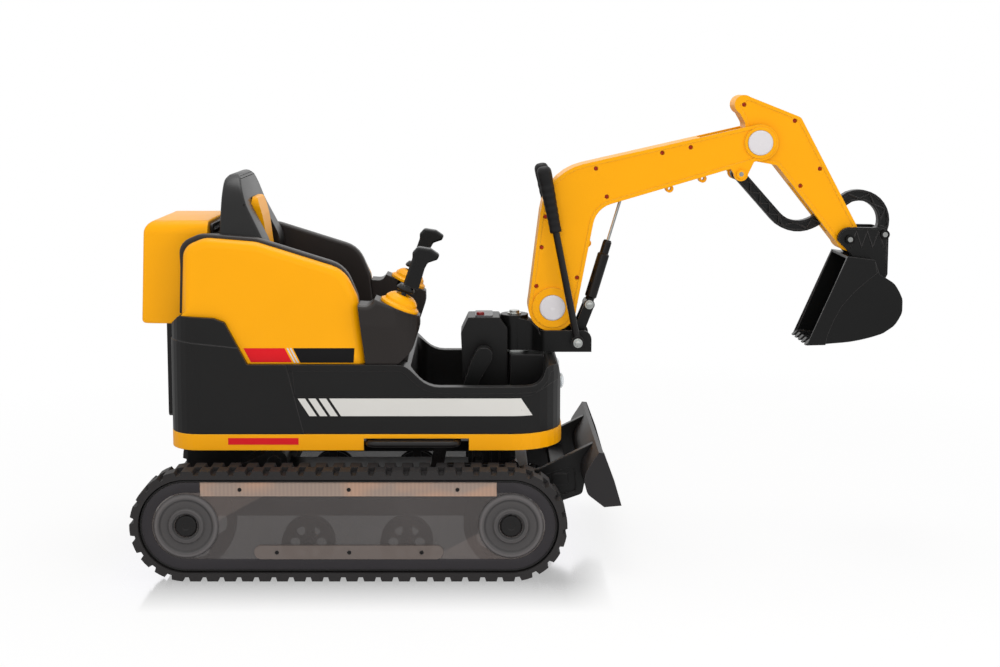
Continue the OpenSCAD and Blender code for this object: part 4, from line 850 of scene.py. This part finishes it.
boom_holes = around(FOOT, [(-15, 182), (-22, 121), (-32, 43), (49, 60), (107, 222), (85, 278)])
boom_holes += around(ELBOW, [(-193, -20), (-137, -9)])
stick_holes = around(ELBOW, [(-31, 75), (70, 43), (122, -52), (84, -86)])
strip_holes = [(x, 174.5) for x in (-202, 1, 203)]
bar_holes = [(x, 55) for x in (-134, 1, 136)]
stamp(screw, "boom_screws", both_sides(boom_holes, BOOM_HALF - HOLE_DEPTH), "boom", dark_screw)
stamp(screw, "stick_screws", both_sides(stick_holes, STICK_HALF - HOLE_DEPTH), "stick", dark_screw)
cover_places = both_sides(strip_holes, STRIP_FACE) + both_sides(bar_holes, BAR_FACE)
stamp(screw, "cover_screws", cover_places, "machine", powder_black)
bpy.data.objects.remove(screw)

# %% [markdown]
# The levers and the strut's foot are held by zinc plated hexagon bolts, each on a washer. The head starts as a
# cylinder of six sides, its edges are bevelled, and it is joined to a turned washer.

# %% Hexagon bolts
BOLT_R = 0.0062
LEVER_PIN, LEVER_FACE = (439, 414), 75
STRUT_PIN, STRUT_EAR = (465, 483), 22


def hexagon_bolt(r):
    washer = turned("bolt", [(0, 0), (r * 1.5, 0), (r * 1.5, r * 0.16), (r * 1.4, r * 0.24), (0, r * 0.24)])
    deselect()
    bpy.ops.mesh.primitive_cylinder_add(
        vertices=6, radius=r, depth=r * 0.8, location=(0, -r * 0.6, 0), rotation=(math.pi / 2, 0, 0))
    head = bpy.context.object
    edit_all()
    bpy.ops.mesh.bevel(offset=r * 0.09, segments=2, affect="EDGES")
    stop_editing()
    bpy.ops.object.shade_smooth_by_angle(angle=math.radians(30))
    return join([washer, head], "bolt")


bolt = hexagon_bolt(BOLT_R)
stamp(bolt, "lever_bolts", both_sides([LEVER_PIN], LEVER_FACE), "swing", zinc)
stamp(bolt, "strut_bolts", both_sides([STRUT_PIN], STRUT_EAR), "swing", zinc)
bpy.data.objects.remove(bolt)

# %% [markdown]
# ## Black frames round the covers
# A black moulding holds each smoky cover at both ends and along the bottom, and leaves the top strip free. Its
# horseshoe outline is drawn as one face, a Solidify modifier gives it its thickness, and a Bevel modifier
# softens its edges.

# %% Cover frames
COVER_R, WINDOW_R, STRIP_END, COVER_FACE = 82.8, 63.5, 276.6, 274.5
FRAME_THICK, FRAME_ROUND = 0.001, 0.0004
frame_black = moulded("frame_black", srgb(42, 39, 42), 0.42, 1500, 0.00005, 0.1, 0.0008, shine=0.35)


def arc(x, r, start, end, steps=28):
    turns = [math.radians(start + (end - start) * k / steps) for k in range(steps + 1)]
    return [(x + r * math.cos(t), TRACK_MID + r * math.sin(t)) for t in turns]


def end_of_strip(x):
    return [(x, TRACK_MID + COVER_R), (x, TRACK_MID + WINDOW_R)]


outside = arc(-WHEEL_X, COVER_R, 90, 270) + arc(WHEEL_X, COVER_R, -90, 90)
inside = arc(WHEEL_X, WINDOW_R, 90, -90) + arc(-WHEEL_X, WINDOW_R, 270, 90)
horseshoe = outside + end_of_strip(STRIP_END) + inside + end_of_strip(-STRIP_END)[::-1]
for side, hand in ((-1, "right"), (1, "left")):
    mesh = bpy.data.meshes.new(f"{hand}_cover_frame")
    corners = [at(x, side * COVER_FACE, z) for x, z in horseshoe[::-side]]
    mesh.from_pydata(corners, [], [range(len(corners))])
    piece = bpy.data.objects.new(f"{hand}_cover_frame", mesh)
    bpy.context.scene.collection.objects.link(piece)
    pick(piece)
    plate = piece.modifiers.new("plate", "SOLIDIFY")
    plate.thickness = FRAME_THICK
    plate.offset = 1.0
    bpy.ops.object.modifier_apply(modifier="plate")
    edge = piece.modifiers.new("edge", "BEVEL")
    edge.width = FRAME_ROUND
    edge.segments = 2
    edge.angle_limit = math.radians(40)
    bpy.ops.object.modifier_apply(modifier="edge")
    bpy.ops.object.shade_smooth_by_angle(angle=math.radians(30))
    dress(piece, frame_black)
    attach(piece, "machine")
    print(piece.name, "faces", len(piece.data.polygons))

# %% [markdown]
# ## Lamp bowls
# Behind each clear headlight lens sits a bright reflector bowl, turned like the screws and set to face forward.

# %% Lamp bowls
BOWL = [(0, 0.0006), (0.005, 0.0009), (0.0105, 0.0034), (0.0118, 0.0034), (0.0118, 0.0002), (0, 0.0002)]
LAMP_Y, LAMP_Z = 0.082, 0.341
lamp_back = min(corner[0] for corner in nodes["headlights"].bound_box)
bowl = turned("bowl", BOWL)
lamps = [(Vector((lamp_back, y, LAMP_Z)), "front") for y in (-LAMP_Y, LAMP_Y)]
stamp(bowl, "lamp_bowls", lamps, "machine", zinc)
bpy.data.objects.remove(bowl)

# %% [markdown]
# ## Printed strips
# The sides carry plain printed strips: a red and black tab under the panel, a pale stripe with slanted bars on
# the black body, and a red strip on the skirt. Each is a fine grid that a Shrinkwrap modifier lays on the body
# before a Solidify modifier gives it the thickness of a film.

# %% Strips
FILM, START_OUT, ALONG, UP = 0.0004, 240, 40, 3
TAB_LOW, TAB_HIGH, TAB_LEAN = 398, 426, 14
STRIPE_LOW, STRIPE_HIGH, STRIPE_LEAN = 297, 331, 22
SKIRT_LOW, SKIRT_HIGH = 242, 255
film_red = moulded("film_red", srgb(214, 20, 30), 0.3, 500, 0.00001, 0.04, 0.0, shine=0.2)
film_black = moulded("film_black", srgb(18, 17, 18), 0.3, 500, 0.00001, 0.08, 0.0, shine=0.2)
film_pale = moulded("film_pale", srgb(208, 206, 201), 0.34, 500, 0.00001, 0.04, 0.0)


def strip(name, corners, side, node, finish):
    deselect()
    bpy.ops.mesh.primitive_grid_add(x_subdivisions=ALONG, y_subdivisions=UP, size=1)
    piece = bpy.context.object
    piece.name = name
    low_left, low_right, high_right, high_left = [at(x, side * START_OUT, z) for x, z in corners]
    for v in piece.data.vertices:
        across, up = v.co.x + 0.5, v.co.y + 0.5
        v.co = low_left.lerp(low_right, across).lerp(high_left.lerp(high_right, across), up)
    lay = piece.modifiers.new("lay", "SHRINKWRAP")
    lay.target = nodes[node]
    lay.wrap_method = "PROJECT"
    lay.use_project_y = True
    lay.use_negative_direction = True
    lay.use_positive_direction = True
    lay.offset = FILM * 0.1
    bpy.ops.object.modifier_apply(modifier="lay")
    if side > 0:
        edit_all()
        bpy.ops.mesh.flip_normals()
        stop_editing()
    film = piece.modifiers.new("film", "SOLIDIFY")
    film.thickness = FILM
    film.offset = 1.0
    bpy.ops.object.modifier_apply(modifier="film")
    dress(piece, finish)
    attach(piece, "machine")


def slanted(x0, x1, z0, z1, lean=0):
    return [(x0 + lean, z0), (x1 + lean, z0), (x1, z1), (x0, z1)]


def tab_line(x):
    return slanted(x, x + 3, TAB_LOW, TAB_HIGH, TAB_LEAN)


def stripe(x0, x1):
    return slanted(x0, x1, STRIPE_LOW, STRIPE_HIGH, STRIPE_LEAN)


TAB_RED = slanted(-204, -126, TAB_LOW + 1, TAB_HIGH, TAB_LEAN)
TAB_BLACK = [(-96, TAB_LOW), (5, TAB_LOW), (7, TAB_HIGH), (-110, TAB_HIGH)]
SKIRT_STRIP = slanted(-234, -100, SKIRT_LOW, SKIRT_HIGH)


for side, hand in ((-1, "right"), (1, "left")):
    strip(f"{hand}_tab_red", TAB_RED, side, "side_panels", film_red)
    strip(f"{hand}_tab_black", TAB_BLACK, side, "side_panels", film_black)
    for k, x in enumerate((-122, -116)):
        strip(f"{hand}_tab_line_{k}", tab_line(x), side, "side_panels", film_pale)
    for k, x in enumerate((-101, -81, -61)):
        strip(f"{hand}_stripe_bar_{k}", stripe(x, x + 14), side, "lower_body", film_pale)
    strip(f"{hand}_stripe", stripe(-41, 323), side, "lower_body", film_pale)
    strip(f"{hand}_skirt_strip", SKIRT_STRIP, side, "skirt", film_red)
print("strips laid")
